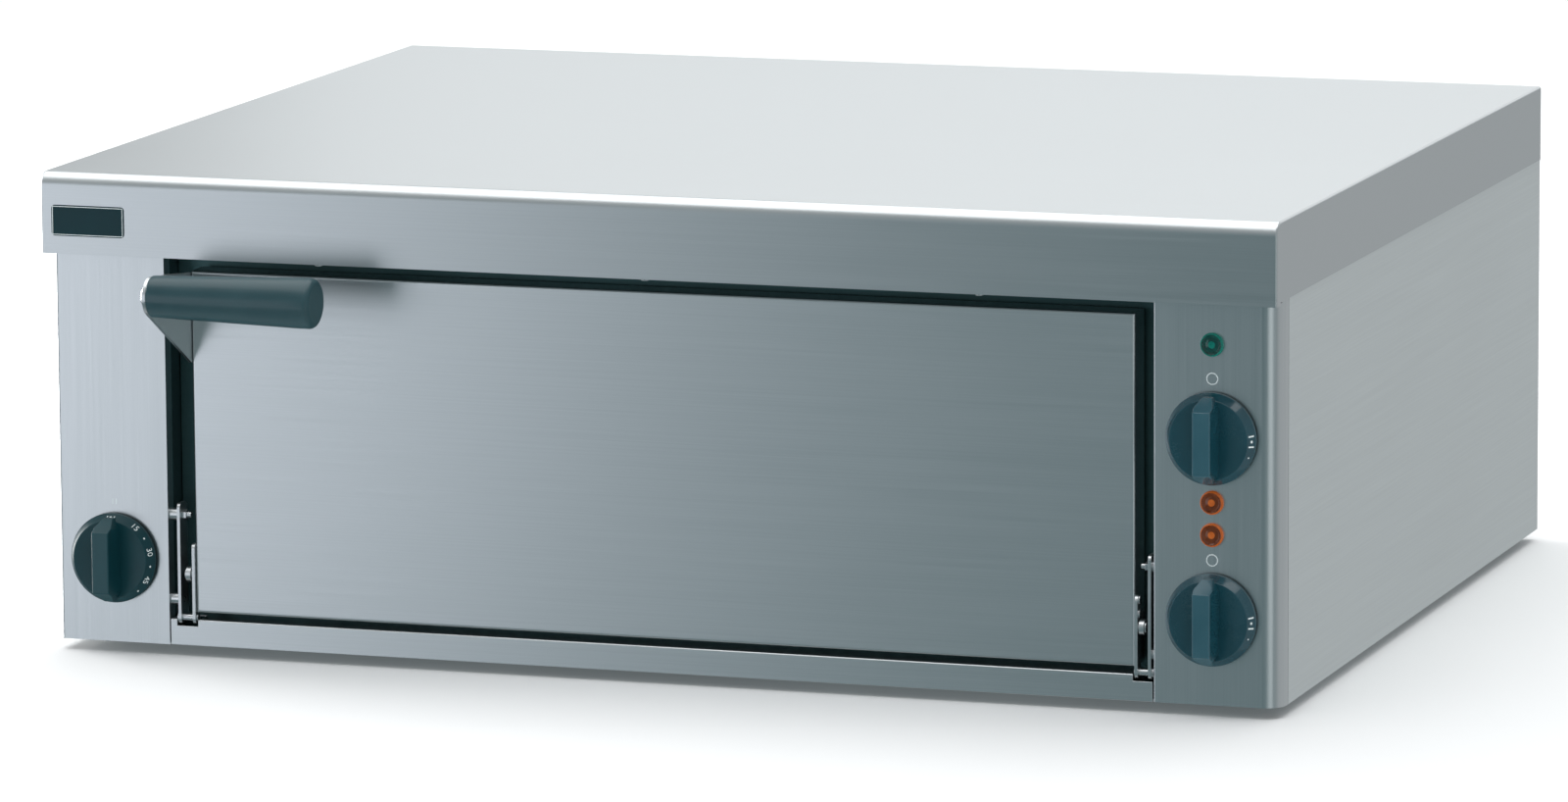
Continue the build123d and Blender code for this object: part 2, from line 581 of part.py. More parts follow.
def stone_supports():
    """Two folded ledges along the side walls and a channel under the joint of the stones."""
    solids = []
    for x, side in ((CHAMBER_LEFT, 1), (CHAMBER_RIGHT, -1)):
        x_in = x + side * LEDGE_WIDTH
        x_leg = x + side * LEDGE_THICKNESS
        ledge = slab(min(x, x_leg), max(x, x_leg), CHAMBER_FRONT, CHAMBER_BACK, FLOOR_Z, STONE_LOW)
        ledge += slab(min(x, x_in), max(x, x_in), CHAMBER_FRONT, CHAMBER_BACK,
                      STONE_LOW - LEDGE_THICKNESS, STONE_LOW)
        solids.append(ledge)
    half = LEDGE_WIDTH / 2
    y0 = CHAMBER_FRONT
    y1 = CHAMBER_BACK - ELEMENT_MARGIN - 4 * ELEMENT_RADIUS
    bar = slab(CHAMBER_CENTRE - half, CHAMBER_CENTRE + half, y0, y1, FLOOR_Z, STONE_LOW)
    bar -= slab(CHAMBER_CENTRE - half + LEDGE_THICKNESS, CHAMBER_CENTRE + half - LEDGE_THICKNESS,
                y0 - 1, y1 + 1, FLOOR_Z - 1, STONE_LOW - LEDGE_THICKNESS)
    solids.append(bar)
    return solids


def deck_stones():
    """Two refractory tiles side by side."""
    solids = []
    for x0, x1 in ((CHAMBER_LEFT, CHAMBER_CENTRE), (CHAMBER_CENTRE, CHAMBER_RIGHT)):
        tile = slab(x0 + STONE_GAP / 2, x1 - STONE_GAP / 2, CHAMBER_FRONT + STONE_GAP,
                    CHAMBER_BACK - STONE_GAP, STONE_LOW, STONE_TOP)
        solids.append(chamfer(tile.edges().filter_by(Axis.Z), 2))
    return solids


def phial_places():
    """Height of each thermostat's phial and the Y where its tube crosses the wall."""
    y = CHAMBER_FRONT + (CHAMBER_BACK - CHAMBER_FRONT) * 0.36
    return [(UPPER_ELEMENT_Z - 22, y), (STONE_TOP + 22, y)]


def chamber_side_walls():
    left = slab(CHAMBER_LEFT - SHEET, CHAMBER_LEFT, CHAMBER_FRONT, CHAMBER_BACK, FLOOR_Z, ROOF_Z)
    right = slab(CHAMBER_RIGHT, CHAMBER_RIGHT + SHEET, CHAMBER_FRONT, CHAMBER_BACK, FLOOR_Z, ROOF_Z)
    for z, y in phial_places():
        right -= rod_x(CHAMBER_RIGHT - 1, CHAMBER_RIGHT + SHEET + 1, y, z, CAPILLARY_RADIUS + SEAT)
    return [left, right]


def with_element_holes(sheet, y0, y1):
    for x, z, radius in element_ends(ELEMENT_RADIUS + ELEMENT_HOLE_PLAY):
        sheet -= rod_y(x, y0 - 1, y1 + 1, z, radius)
    return sheet


def chamber_back_wall():
    y1 = CHAMBER_BACK + SHEET
    wall = slab(CHAMBER_LEFT - SHEET, CHAMBER_RIGHT + SHEET, CHAMBER_BACK, y1, FLOOR_Z, ROOF_Z)
    return with_element_holes(wall, CHAMBER_BACK, y1)


def chamber_sheet(z0):
    """The floor or the roof of the chamber."""
    return slab(CHAMBER_LEFT - SHEET, CHAMBER_RIGHT + SHEET, CHAMBER_FRONT, CHAMBER_BACK + SHEET,
                z0, z0 + SHEET)


def insulation_layers():
    """Mineral-wool slabs over, under and round the chamber."""
    x0 = CHAMBER_LEFT - SHEET - SIDE_INSULATION
    x1 = CHAMBER_RIGHT + SHEET + SIDE_INSULATION
    y0 = CHAMBER_FRONT + SOFT_GAP
    y_wall = CHAMBER_BACK + SHEET
    y1 = COVER_Y - SHEET
    g = SOFT_GAP
    top = slab(x0, x1, y0, y1 - g, ROOF_Z + SHEET + g, ROOF_Z + SHEET + TOP_INSULATION)
    bottom = slab(x0, x1, y0, y1 - g, TRAY_Z + g, FLOOR_Z - SHEET - g)
    z0 = FLOOR_Z - SHEET
    z1 = ROOF_Z + SHEET
    left = slab(x0, CHAMBER_LEFT - SHEET - g, y0, y_wall, z0, z1)
    right = slab(CHAMBER_RIGHT + SHEET + g, x1, y0, y_wall, z0, z1)
    for z, y in phial_places():
        right -= rod_x(CHAMBER_RIGHT, x1 + 1, y, z, CAPILLARY_RADIUS + SEAT)
    back = slab(x0, x1, y_wall + g, y1 - g, z0, z1)
    back = with_element_holes(back, y_wall, y1)
    return top, bottom, [left, right, back]


def insulation_cover():
    """Sheet that closes the insulation towards the wiring space."""
    cover = slab(WALL_LEFT + SEAT, WALL_RIGHT - SEAT, COVER_Y - SHEET, COVER_Y, TRAY_Z,
                 ROOF_Z + SHEET + TOP_INSULATION)
    return with_element_holes(cover, COVER_Y - SHEET, COVER_Y)


# --- door ------------------------------------------------------------------------------------
def door_seal():
    """Rope seal round the chamber's mouth."""
    x0 = CHAMBER_LEFT - SEAL_MARGIN - SEAL_WIDTH
    x1 = CHAMBER_RIGHT + SEAL_MARGIN + SEAL_WIDTH
    z0 = STONE_TOP - SEAL_MARGIN - SEAL_WIDTH
    z1 = ROOF_Z + SEAL_MARGIN + SEAL_WIDTH
    ring = slab(x0, x1, MOUTH_Y - SEAL_THICKNESS, MOUTH_Y, z0, z1)
    ring = fillet(ring.edges().filter_by(Axis.Y), SEAL_WIDTH + 4)
    hole = slab(x0 + SEAL_WIDTH, x1 - SEAL_WIDTH, MOUTH_Y - SEAL_THICKNESS - 1, MOUTH_Y + 1,
                z0 + SEAL_WIDTH, z1 - SEAL_WIDTH)
    return ring - fillet(hole.edges().filter_by(Axis.Y), 4)


def arm_screw_places():
    """Two screws in each arm and two in the handle bracket, on the door's sides."""
    lower = [(PIVOT_Y + ARM_SCREW_SETBACK, PIVOT_Z + ARM_LENGTH - drop) for drop in (4, 15)]
    upper = [(DOOR_FACE + 12, DOOR_HIGH - drop) for drop in (14, 52)]
    return lower, upper


def door_outer_panel():
    """Pressed face with folded edges."""
    pan = slab(DOOR_LEFT, DOOR_RIGHT, DOOR_FACE, DOOR_BACK - SHEET, DOOR_LOW, DOOR_HIGH)
    pan = fillet(pan.faces().sort_by(Axis.Y)[0].edges(), DOOR_EDGE_RADIUS)
    pan -= slab(DOOR_LEFT + SHEET, DOOR_RIGHT - SHEET, DOOR_FACE + SHEET, DOOR_BACK,
                DOOR_LOW + SHEET, DOOR_HIGH - SHEET)
    lower, upper = arm_screw_places()
    for y, z in lower:
        pan -= rod_x(DOOR_LEFT - 1, DOOR_LEFT + 2, y, z, SCREW_RADIUS + RUNNING_FIT)
        pan -= rod_x(DOOR_RIGHT - 2, DOOR_RIGHT + 1, y, z, SCREW_RADIUS + RUNNING_FIT)
    for y, z in upper:
        pan -= rod_x(DOOR_LEFT - 1, DOOR_LEFT + 2, y, z, SCREW_RADIUS + RUNNING_FIT)
    return pan


def door_inner_panel():
    """Flat inner sheet with a shallow raised field."""
    panel = slab(DOOR_LEFT, DOOR_RIGHT, DOOR_BACK - SHEET, DOOR_BACK, DOOR_LOW, DOOR_HIGH)
    return fillet(panel.edges().filter_by(Axis.Y), 2)


def door_insulation():
    g = 2.0
    depth = SCREW_LENGTH + g
    return slab(DOOR_LEFT + SHEET + depth, DOOR_RIGHT - SHEET - depth, DOOR_FACE + SHEET + SOFT_GAP,
                DOOR_BACK - SHEET - SOFT_GAP, DOOR_LOW + SHEET + g, DOOR_HIGH - SHEET - g)


def door_arm(x_edge, side):
    """A hinge arm on the door's side: pivot hole below, stay stud above it."""
    x0 = min(x_edge, x_edge + side * ARM_THICKNESS)
    x1 = max(x_edge, x_edge + side * ARM_THICKNESS)
    arm = slab(x0, x1, PIVOT_Y - ARM_HALF_WIDTH, PIVOT_Y + ARM_HALF_WIDTH,
               PIVOT_Z - ARM_HALF_WIDTH, PIVOT_Z + ARM_LENGTH)
    arm = fillet(arm.edges().filter_by(Axis.X), ARM_HALF_WIDTH - 0.1)
    arm -= rod_x(x0 - 1, x1 + 1, PIVOT_Y, PIVOT_Z, PIN_RADIUS + RUNNING_FIT)
    lower, _ = arm_screw_places()
    for y, z in lower:
        arm -= rod_x(x0 - 1, x1 + 1, y, z, SCREW_RADIUS + RUNNING_FIT)
    tip = x_edge + side * (STAY_OFFSET + EYE_THICKNESS / 2 + 0.2)
    stud = rod_x(min(x_edge, tip), max(x_edge, tip), PIVOT_Y, STUD_Z, STUD_RADIUS)
    cap = tip + side * 1.0
    head = rod_x(min(tip, cap), max(tip, cap), PIVOT_Y, STUD_Z, STUD_RADIUS + 1.5)
    return arm + stud + head


def door_side_screws():
    """Flat-head screws that hold the arms and the bracket to the door."""
    lower, upper = arm_screw_places()
    solids = []
    for x_edge, side, places in ((DOOR_LEFT, -1, lower), (DOOR_RIGHT, 1, lower), (DOOR_LEFT, -1, upper)):
        for y, z in places:
            face = x_edge + side * ARM_THICKNESS
            tip = x_edge - side * (SCREW_LENGTH - ARM_THICKNESS)
            top = face + side * 0.4 * SCREW_HEAD_HEIGHT
            shank = rod_x(min(face, tip), max(face, tip), y, z, SCREW_RADIUS)
            head = rod_x(min(face, top), max(face, top), y, z, SCREW_HEAD_RADIUS)
            solids.append(shank + head)
    return solids


def hinge_plates():
    """Fixed plates beside the door; each carries one pivot pin."""
    solids = []
    for edge, side, gap in ((DOOR_LEFT, -1, PLATE_GAP_LEFT), (DOOR_RIGHT, 1, PLATE_GAP_RIGHT)):
        near = edge + side * gap
        far = near + side * PLATE_THICKNESS
        y0 = PIVOT_Y - ARM_HALF_WIDTH
        plate = slab(min(near, far), max(near, far), y0, y0 + PLATE_DEPTH,
                     PIVOT_Z - ARM_HALF_WIDTH, PIVOT_Z + PLATE_HEIGHT)
        plate = fillet(plate.edges().filter_by(Axis.X), ARM_HALF_WIDTH - 0.5)
        plate -= rod_x(min(near, far) - 1, max(near, far) + 1, PIVOT_Y, PIVOT_Z, PIN_RADIUS)
        for y, z in hinge_bolt_places():
            plate -= rod_x(min(near, far) - 1, max(near, far) + 1, y, z, PLATE_BOLT_RADIUS + RUNNING_FIT)
        solids.append(plate)
    return solids


def hinge_pins():
    """Pivot pins, fast in the hinge plates and running in the arms."""
    solids = []
    for edge, side, gap in ((DOOR_LEFT, -1, PLATE_GAP_LEFT), (DOOR_RIGHT, 1, PLATE_GAP_RIGHT)):
        inner = edge - side * 1.0
        outer = edge + side * (gap + PLATE_THICKNESS)
        cap = outer + side * 1.5
        pin = rod_x(min(inner, outer), max(inner, outer), PIVOT_Y, PIVOT_Z, PIN_RADIUS)
        pin += rod_x(min(outer, cap), max(outer, cap), PIVOT_Y, PIVOT_Z, PIN_RADIUS + 1)
        solids.append(pin)
    return solids


def hinge_bolts():
    """Bolts with spacers that hold the hinge plates to the partitions."""
    solids = []
    ends = ((DOOR_LEFT, -1, PLATE_GAP_LEFT, OPEN_LEFT), (DOOR_RIGHT, 1, PLATE_GAP_RIGHT, OPEN_RIGHT))
    for edge, side, gap, wall in ends:
        near = edge + side * gap
        far = near + side * PLATE_THICKNESS
        nut0 = wall + side * 2 * SHEET
        nut1 = nut0 + side * 4
        lower, upper = hinge_bolt_places()
        for (y, z), reach in ((lower, 0), (upper, BOLT_END)):
            tip = near - side * reach
            bolt = rod_x(min(tip, nut1), max(tip, nut1), y, z, PLATE_BOLT_RADIUS)
            bolt += rod_x(min(far, wall), max(far, wall), y, z, SPACER_RADIUS)
            bolt += rod_x(min(nut0, nut1), max(nut0, nut1), y, z, SPACER_RADIUS - 0.5)
            if reach:
                face = Plane(origin=(near, y, z), z_dir=(-side, 0, 0))
                bolt += extrude(face * RegularPolygon(SPACER_RADIUS - 0.5, 6), BOLT_END / 2)
            solids.append(bolt)
    return solids


def stay_rod(x):
    """A stay: an eye on the arm's stud, a rod through the guide, washer and nut behind the spring."""
    tail = GUIDE_Y + SPRING_LENGTH
    eye = rod_x(x - EYE_THICKNESS / 2, x + EYE_THICKNESS / 2, PIVOT_Y, STUD_Z, EYE_RADIUS)
    rod = rod_y(x, PIVOT_Y + EYE_RADIUS - 1.5, tail + WASHER_THICKNESS + 8, STUD_Z, ROD_RADIUS)
    washer = rod_y(x, tail, tail + WASHER_THICKNESS, STUD_Z, WASHER_RADIUS)
    nut_sketch = Plane(origin=(x, tail + WASHER_THICKNESS, STUD_Z), z_dir=(0, 1, 0)) * RegularPolygon(5, 6)
    stay = eye + rod + washer + extrude(nut_sketch, 4)
    return stay - rod_x(x - EYE_THICKNESS, x + EYE_THICKNESS, PIVOT_Y, STUD_Z, STUD_RADIUS + RUNNING_FIT)


def stay_springs():
    """The outer shape of each stay's compression spring, between guide and washer."""
    solids = []
    for x in STAY_XS:
        coil = rod_y(x, GUIDE_Y + SEAT, GUIDE_Y + SPRING_LENGTH - SEAT, STUD_Z, SPRING_RADIUS)
        coil -= rod_y(x, GUIDE_Y - 1, GUIDE_Y + SPRING_LENGTH + 1, STUD_Z, SPRING_BORE)
        solids.append(coil)
    return solids


def stay_guides():
    """Slotted angle brackets on the partitions; each rod slides through one."""
    solids = []
    for x, wall, side in ((STAY_XS[0], WALL_LEFT, 1), (STAY_XS[1], WALL_RIGHT, -1)):
        edge = x + side * (SPRING_RADIUS + 1)
        height = GUIDE_PLAY + ROD_RADIUS + 6
        guide = slab(min(wall, edge), max(wall, edge), GUIDE_Y - GUIDE_THICKNESS, GUIDE_Y,
                     STUD_Z - height, STUD_Z + height)
        leg = wall + side * GUIDE_THICKNESS
        guide += slab(min(wall, leg), max(wall, leg), GUIDE_Y - 24, GUIDE_Y,
                      STUD_Z - height, STUD_Z + height)
        slot = GUIDE_PLAY + ROD_RADIUS
        guide -= slab(x - ROD_RADIUS - 0.5, x + ROD_RADIUS + 0.5, GUIDE_Y - 5, GUIDE_Y + 1,
                      STUD_Z - slot, STUD_Z + slot)
        solids.append(guide)
    return solids


# --- handle ----------------------------------------------------------------------------------
def handle_bracket():
    """Triangular plate on the door's left side that carries the grip by one end."""
    top = DOOR_HIGH - 1
    low = DOOR_HIGH - BRACKET_HEIGHT
    x0 = DOOR_LEFT - BRACKET_THICKNESS
    nose = Pos(GRIP_Y, GRIP_Z) * Circle(BRACKET_NOSE_RADIUS)
    root = Polygon((DOOR_FACE, top), (DOOR_FACE + BRACKET_REAR, top - 6),
                   (DOOR_FACE + BRACKET_REAR, low + 12), (DOOR_FACE, low), align=None)
    outline = make_hull(nose.edges() + root.edges())
    side = Plane(origin=(x0, 0, 0), x_dir=(0, 1, 0), z_dir=(1, 0, 0))
    plate = extrude(side * outline, BRACKET_THICKNESS)
    plate -= rod_x(x0 - 1, DOOR_LEFT + 1, GRIP_Y, GRIP_Z, GRIP_BOLT_RADIUS + RUNNING_FIT)
    _, upper = arm_screw_places()
    for y, z in upper:
        plate -= rod_x(x0 - 1, DOOR_LEFT + 1, y, z, SCREW_RADIUS + RUNNING_FIT)
    return plate


def handle_grip():
    """A round grip, open at one end for the bolt, with softly rounded ends."""
    outline = Plane.XZ * Polygon((0, 0), (GRIP_LENGTH, 0), (GRIP_LENGTH, GRIP_RADIUS),
                                 (GRIP_LENGTH - GRIP_BARREL, GRIP_RADIUS), (0, GRIP_ROOT_RADIUS),
                                 align=None)
    grip = Pos(DOOR_LEFT, GRIP_Y, GRIP_Z) * revolve(outline, Axis.X)
    grip = fillet(grip.faces().sort_by(Axis.X)[-1].edges(), 5)
    grip = fillet(grip.faces().sort_by(Axis.X)[0].edges(), 1.5)
    return grip - rod_x(DOOR_LEFT - 1, DOOR_LEFT + GRIP_LENGTH - 30, GRIP_Y, GRIP_Z,
                        GRIP_BOLT_RADIUS + RUNNING_FIT)


def handle_bolt():
    """Domed bolt through the bracket into the grip."""
    face = DOOR_LEFT - BRACKET_THICKNESS
    head = rod_x(face - 5, face, GRIP_Y, GRIP_Z, 10)
    head = fillet(head.faces().sort_by(Axis.X)[0].edges(), 4.5)
    return head + rod_x(face, DOOR_LEFT + GRIP_LENGTH - 35, GRIP_Y, GRIP_Z, GRIP_BOLT_RADIUS)


# --- controls --------------------------------------------------------------------------------
def knob_bar():
    """The bar to turn a dial by: sloped sides, sloped ends and a pointed plan, seen along +Z."""
    low = KNOB_SHOULDER - 3
    reach = KNOB_RADIUS - KNOB_BAR_INSET
    ridge = reach - KNOB_BAR_SLOPE
    root = KNOB_BAR_WIDTH / 2 + 1
    crest = KNOB_BAR_WIDTH / 2 - 1
    flank = Plane.YZ * Polygon((-reach, low), (reach, low), (reach, KNOB_SHOULDER + 3),
                               (ridge, KNOB_HEIGHT), (-ridge, KNOB_HEIGHT),
                               (-reach, KNOB_SHOULDER + 3), align=None)
    section = Plane.XZ * Polygon((-root, low), (root, low), (crest, KNOB_HEIGHT),
                                 (-crest, KNOB_HEIGHT), align=None)
    tip = KNOB_BAR_WIDTH / 4
    plan = Polygon((-root, -ridge), (-tip, -reach), (tip, -reach), (root, -ridge), (root, ridge),
                   (tip, reach), (-tip, reach), (-root, ridge), align=None)
    bar = extrude(flank, root, both=True) & extrude(section, reach, both=True)
    bar = bar & Pos(0, 0, low) * extrude(plan, KNOB_HEIGHT)
    upper = [e for e in bar.edges() if e.center().Z > low + 1]
    return fillet(upper, KNOB_EDGE_RADIUS)


def knob(x, z):
    """A dial: sloped skirt for the marks, dished deck and a pointed bar to turn it by."""
    profile = Plane.XZ * Polygon((0, 0), (KNOB_RADIUS, 0), (KNOB_RADIUS, KNOB_SKIRT),
                                 (KNOB_DECK_RADIUS, KNOB_SHOULDER), (0, KNOB_SHOULDER - 2), align=None)
    dial = revolve(profile, Axis.Z)
    rims = [e for e in dial.edges().filter_by(GeomType.CIRCLE) if e.center().Z > 1]
    dial = fillet(rims, KNOB_EDGE_RADIUS)
    dial += knob_bar()
    bore = Pos(0, 0, SPINDLE_LENGTH / 4) * Cylinder(SPINDLE_RADIUS + 0.02, SPINDLE_LENGTH / 2)
    seat = Plane(origin=(x, PANEL_Y - KNOB_GAP, z), x_dir=(1, 0, 0), z_dir=(0, -1, 0))
    return seat * (dial - bore)


def spindle(x, z):
    back = PANEL_Y - KNOB_GAP
    return rod_y(x, back - SPINDLE_LENGTH / 2 + SEAT, PANEL_Y + SHEET + 10, z, SPINDLE_RADIUS)


def control_body(x, z, depth):
    """A switch block behind the panel, with a bush through it."""
    y0 = PANEL_Y + SHEET
    body = slab(x - CONTROL_WIDTH / 2, x + CONTROL_WIDTH / 2, y0, y0 + depth,
                z - CONTROL_HEIGHT / 2, z + CONTROL_HEIGHT / 2)
    body = fillet(body.edges().filter_by(Axis.Y), 3)
    body += rod_y(x, PANEL_Y - 1, y0, z, BUSH_RADIUS)
    return body - rod_y(x, PANEL_Y - 2, y0 + 10 + SEAT, z, SPINDLE_RADIUS + RUNNING_FIT)


def timer():
    body = control_body(TIMER_X, TIMER_Z, CONTROL_DEPTH)
    y0 = PANEL_Y + SHEET + CONTROL_DEPTH
    bell = rod_y(TIMER_X, y0, y0 + BELL_DEPTH, TIMER_Z, BELL_RADIUS - 3)
    return body + fillet(bell.faces().sort_by(Axis.Y)[-1].edges(), 5)


def thermostat_capillaries():
    """Thin tubes from the thermostats to the phials inside the chamber."""
    solids = []
    y0 = PANEL_Y + SHEET + CONTROL_DEPTH
    for (z_phial, y), z_body in zip(phial_places(), (UPPER_KNOB_Z, LOWER_KNOB_Z)):
        x_end = CHAMBER_RIGHT - PHIAL_WALL_GAP
        z_mid = z_phial
        start_z = z_body - CONTROL_HEIGHT / 4
        points = [(HEAT_X, y0, start_z), (HEAT_X, y, start_z), (HEAT_X, y, z_mid),
                  (x_end, y, z_mid), (x_end, y + 24, z_mid)]
        tube = tube_along(points, 5.0, CAPILLARY_RADIUS)
        phial = rod_y(x_end, y + 24, y + 24 + PHIAL_LENGTH, z_mid, PHIAL_RADIUS)
        solids.append(tube + phial)
    return solids


def lamp_lens(z):
    """A translucent lens with a raised rim round its middle."""
    lens = rod_y(HEAT_X, PANEL_Y - 3.4, PANEL_Y, z, LAMP_RADIUS)
    lens = fillet(lens.faces().sort_by(Axis.Y)[0].edges(), 1.2)
    dish = rod_y(HEAT_X, PANEL_Y - 4, PANEL_Y - 2.2, z, LAMP_RADIUS - 3)
    return lens - dish


def lamp_bodies(zs):
    solids = []
    for z in zs:
        body = rod_y(HEAT_X, PANEL_Y, PANEL_Y + LAMP_STEM_LENGTH, z, LAMP_STEM_RADIUS)
        body += rod_y(HEAT_X, PANEL_Y + SHEET, PANEL_Y + SHEET + 4, z, LAMP_STEM_RADIUS + 2.5)
        for tab in (-2.5, 2.5):
            body += slab(HEAT_X + tab - 0.4, HEAT_X + tab + 0.4, PANEL_Y + LAMP_STEM_LENGTH,
                         PANEL_Y + LAMP_STEM_LENGTH + 7, z - 2, z + 2)
        solids.append(body)
    return solids


def terminal_block():
    """Mains terminals on the tray, near the cable entry."""
    length = TERMINAL_WAYS * TERMINAL_PITCH
    x0 = GLAND_X - length / 2
    y1 = REAR_INNER_Y - TERMINAL_SETBACK
    block = slab(x0 - 3, x0 + length + 3, y1 - 26, y1, TRAY_Z, TRAY_Z + TERMINAL_HEIGHT)
    for way in range(TERMINAL_WAYS):
        x = x0 + (way + 0.5) * TERMINAL_PITCH
        for y in (y1 - 21, y1 - 5):
            block -= rod_z(x, y, TRAY_Z + TERMINAL_HEIGHT - 6, TRAY_Z + TERMINAL_HEIGHT + 1, 3)
    return block


def cable_gland():
    """Gland through the rear panel: domed cap outside, lock nut inside, open bore."""
    collar = rod_y(GLAND_X, BACK_Y, BACK_Y + 7, GLAND_Z, GLAND_RADIUS)
    dome = rod_y(GLAND_X, BACK_Y + 7, BACK_Y + GLAND_REACH, GLAND_Z, GLAND_RADIUS - 1.5)
    dome = fillet(dome.faces().sort_by(Axis.Y)[-1].edges(), 5)
    thread = rod_y(GLAND_X, REAR_INNER_Y - 9, BACK_Y, GLAND_Z, GLAND_THREAD_RADIUS)
    nut_plane = Plane(origin=(GLAND_X, REAR_INNER_Y - 5, GLAND_Z), z_dir=(0, 1, 0))
    nut = extrude(nut_plane * RegularPolygon(GLAND_RADIUS + 1, 6), 5)
    gland = collar + dome + thread + nut
    return gland - rod_y(GLAND_X, REAR_INNER_Y - 10, BACK_Y + GLAND_REACH + 1, GLAND_Z, GLAND_BORE_RADIUS)


# --- all sub-parts ---------------------------------------------------------------------------
CAPILLARY_HOLES = [(y, z, CAPILLARY_RADIUS + SEAT) for z, y in phial_places()]

write("top_hood", top_hood())
write("hood_screws", *hood_screws())
write("left_front_panel", front_panel(OPEN_LEFT, -HALF_BODY, [(TIMER_X, TIMER_Z, BUSH_HOLE)]))
write("right_front_panel", front_panel(
    OPEN_RIGHT, HALF_BODY,
    [(HEAT_X, UPPER_KNOB_Z, BUSH_HOLE), (HEAT_X, LOWER_KNOB_Z, BUSH_HOLE)]
    + [(HEAT_X, z, STEM_HOLE) for z in LAMP_ZS]))
write("bottom_front_rail", bottom_front_rail())
write("left_side_panel", side_panel(-1))
write("right_side_panel", side_panel(1))
write("rear_panel", rear_panel())
write("rear_screws", *rear_screws())
write("base_tray", base_tray())
write("feet", *feet())
write("left_partition", partition(WALL_LEFT, -1, HINGE_HOLES))
write("right_partition", partition(WALL_RIGHT, 1, HINGE_HOLES + CAPILLARY_HOLES))
write("mouth_frame", mouth_frame())
write("lintel", lintel())
write("badge_plate", badge_plate())

top_wool, bottom_wool, wall_wool = insulation_layers()
write("chamber_floor", chamber_sheet(FLOOR_Z - SHEET))
write("chamber_roof", chamber_sheet(ROOF_Z))
write("chamber_side_walls", *chamber_side_walls())
write("chamber_back_wall", chamber_back_wall())
write("stone_supports", *stone_supports())
write("deck_stones", *deck_stones())
write("upper_element", element(UPPER_ELEMENT_Z))
write("lower_element", element(LOWER_ELEMENT_Z))
write("element_supports", *element_supports())
write("element_terminals", *element_terminals())
write("top_insulation", top_wool)
write("bottom_insulation", bottom_wool)
write("wall_insulation", *wall_wool)
write("insulation_cover", insulation_cover())

write("door_seal", door_seal())
write("door_outer_panel", door_outer_panel())
write("door_inner_panel", door_inner_panel())
write("door_insulation", door_insulation())
write("door_arms", door_arm(DOOR_LEFT, -1), door_arm(DOOR_RIGHT, 1))
write("door_side_screws", *door_side_screws())
write("hinge_plates", *hinge_plates())
write("hinge_pins", *hinge_pins())
write("hinge_bolts", *hinge_bolts())
write("left_stay_rod", stay_rod(STAY_XS[0]))
write("right_stay_rod", stay_rod(STAY_XS[1]))
write("stay_springs", *stay_springs())
write("stay_guides", *stay_guides())
write("handle_bracket", handle_bracket())
write("handle_grip", handle_grip())
write("handle_bolt", handle_bolt())

write("timer", timer())
write("thermostats", control_body(HEAT_X, UPPER_KNOB_Z, CONTROL_DEPTH),
      control_body(HEAT_X, LOWER_KNOB_Z, CONTROL_DEPTH))
write("thermostat_capillaries", *thermostat_capillaries())
for dial_name, dial_x, dial_z in (("timer", TIMER_X, TIMER_Z), ("upper_heat", HEAT_X, UPPER_KNOB_Z),
                                  ("lower_heat", HEAT_X, LOWER_KNOB_Z)):
    write(f"{dial_name}_knob", knob(dial_x, dial_z))
    write(f"{dial_name}_spindle", spindle(dial_x, dial_z))
write("green_lamp", lamp_lens(GREEN_LAMP_Z))
write("amber_lamps", *[lamp_lens(z) for z in AMBER_LAMP_ZS])
write("lamp_bodies", *lamp_bodies(LAMP_ZS))
write("terminal_block", terminal_block())
write("cable_gland", cable_gland())
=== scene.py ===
"""A single-deck counter-top oven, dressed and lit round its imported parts.

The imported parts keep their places. Each one gets a finish, and finer pieces stand for the sheets, dials,
lamps, springs and screws that show. A pale floor, soft lamps and a camera complete the scene.
"""

import json
import logging
import math
from dataclasses import dataclass
from enum import Enum
from typing import Callable, Sequence

import bpy
from mathutils import Matrix, Vector

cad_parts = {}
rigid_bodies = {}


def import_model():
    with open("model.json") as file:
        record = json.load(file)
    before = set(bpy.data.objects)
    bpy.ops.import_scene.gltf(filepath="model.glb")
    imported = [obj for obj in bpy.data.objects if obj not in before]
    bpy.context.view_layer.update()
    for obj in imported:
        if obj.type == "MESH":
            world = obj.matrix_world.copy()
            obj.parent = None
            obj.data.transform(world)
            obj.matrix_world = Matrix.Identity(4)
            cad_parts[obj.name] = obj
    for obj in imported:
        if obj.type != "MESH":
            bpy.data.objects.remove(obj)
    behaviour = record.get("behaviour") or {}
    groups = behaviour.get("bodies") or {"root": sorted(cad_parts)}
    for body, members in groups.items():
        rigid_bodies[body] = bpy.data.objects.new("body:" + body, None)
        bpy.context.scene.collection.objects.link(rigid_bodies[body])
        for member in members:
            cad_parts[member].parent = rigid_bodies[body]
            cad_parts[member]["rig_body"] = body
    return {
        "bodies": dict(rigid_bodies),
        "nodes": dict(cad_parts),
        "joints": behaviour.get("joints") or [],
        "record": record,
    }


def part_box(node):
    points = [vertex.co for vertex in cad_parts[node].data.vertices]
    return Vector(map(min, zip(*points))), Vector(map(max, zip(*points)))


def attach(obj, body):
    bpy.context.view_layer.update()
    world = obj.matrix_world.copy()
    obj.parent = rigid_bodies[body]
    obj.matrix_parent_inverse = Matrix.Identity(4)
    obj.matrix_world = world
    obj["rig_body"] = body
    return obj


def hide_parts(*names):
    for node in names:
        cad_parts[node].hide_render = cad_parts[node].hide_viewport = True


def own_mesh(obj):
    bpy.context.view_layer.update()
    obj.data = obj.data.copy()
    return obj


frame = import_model()

LOG = logging.getLogger("deck_oven")
MM = 0.001
FULL_TURN = 2 * math.pi

Colour = tuple[float, float, float]


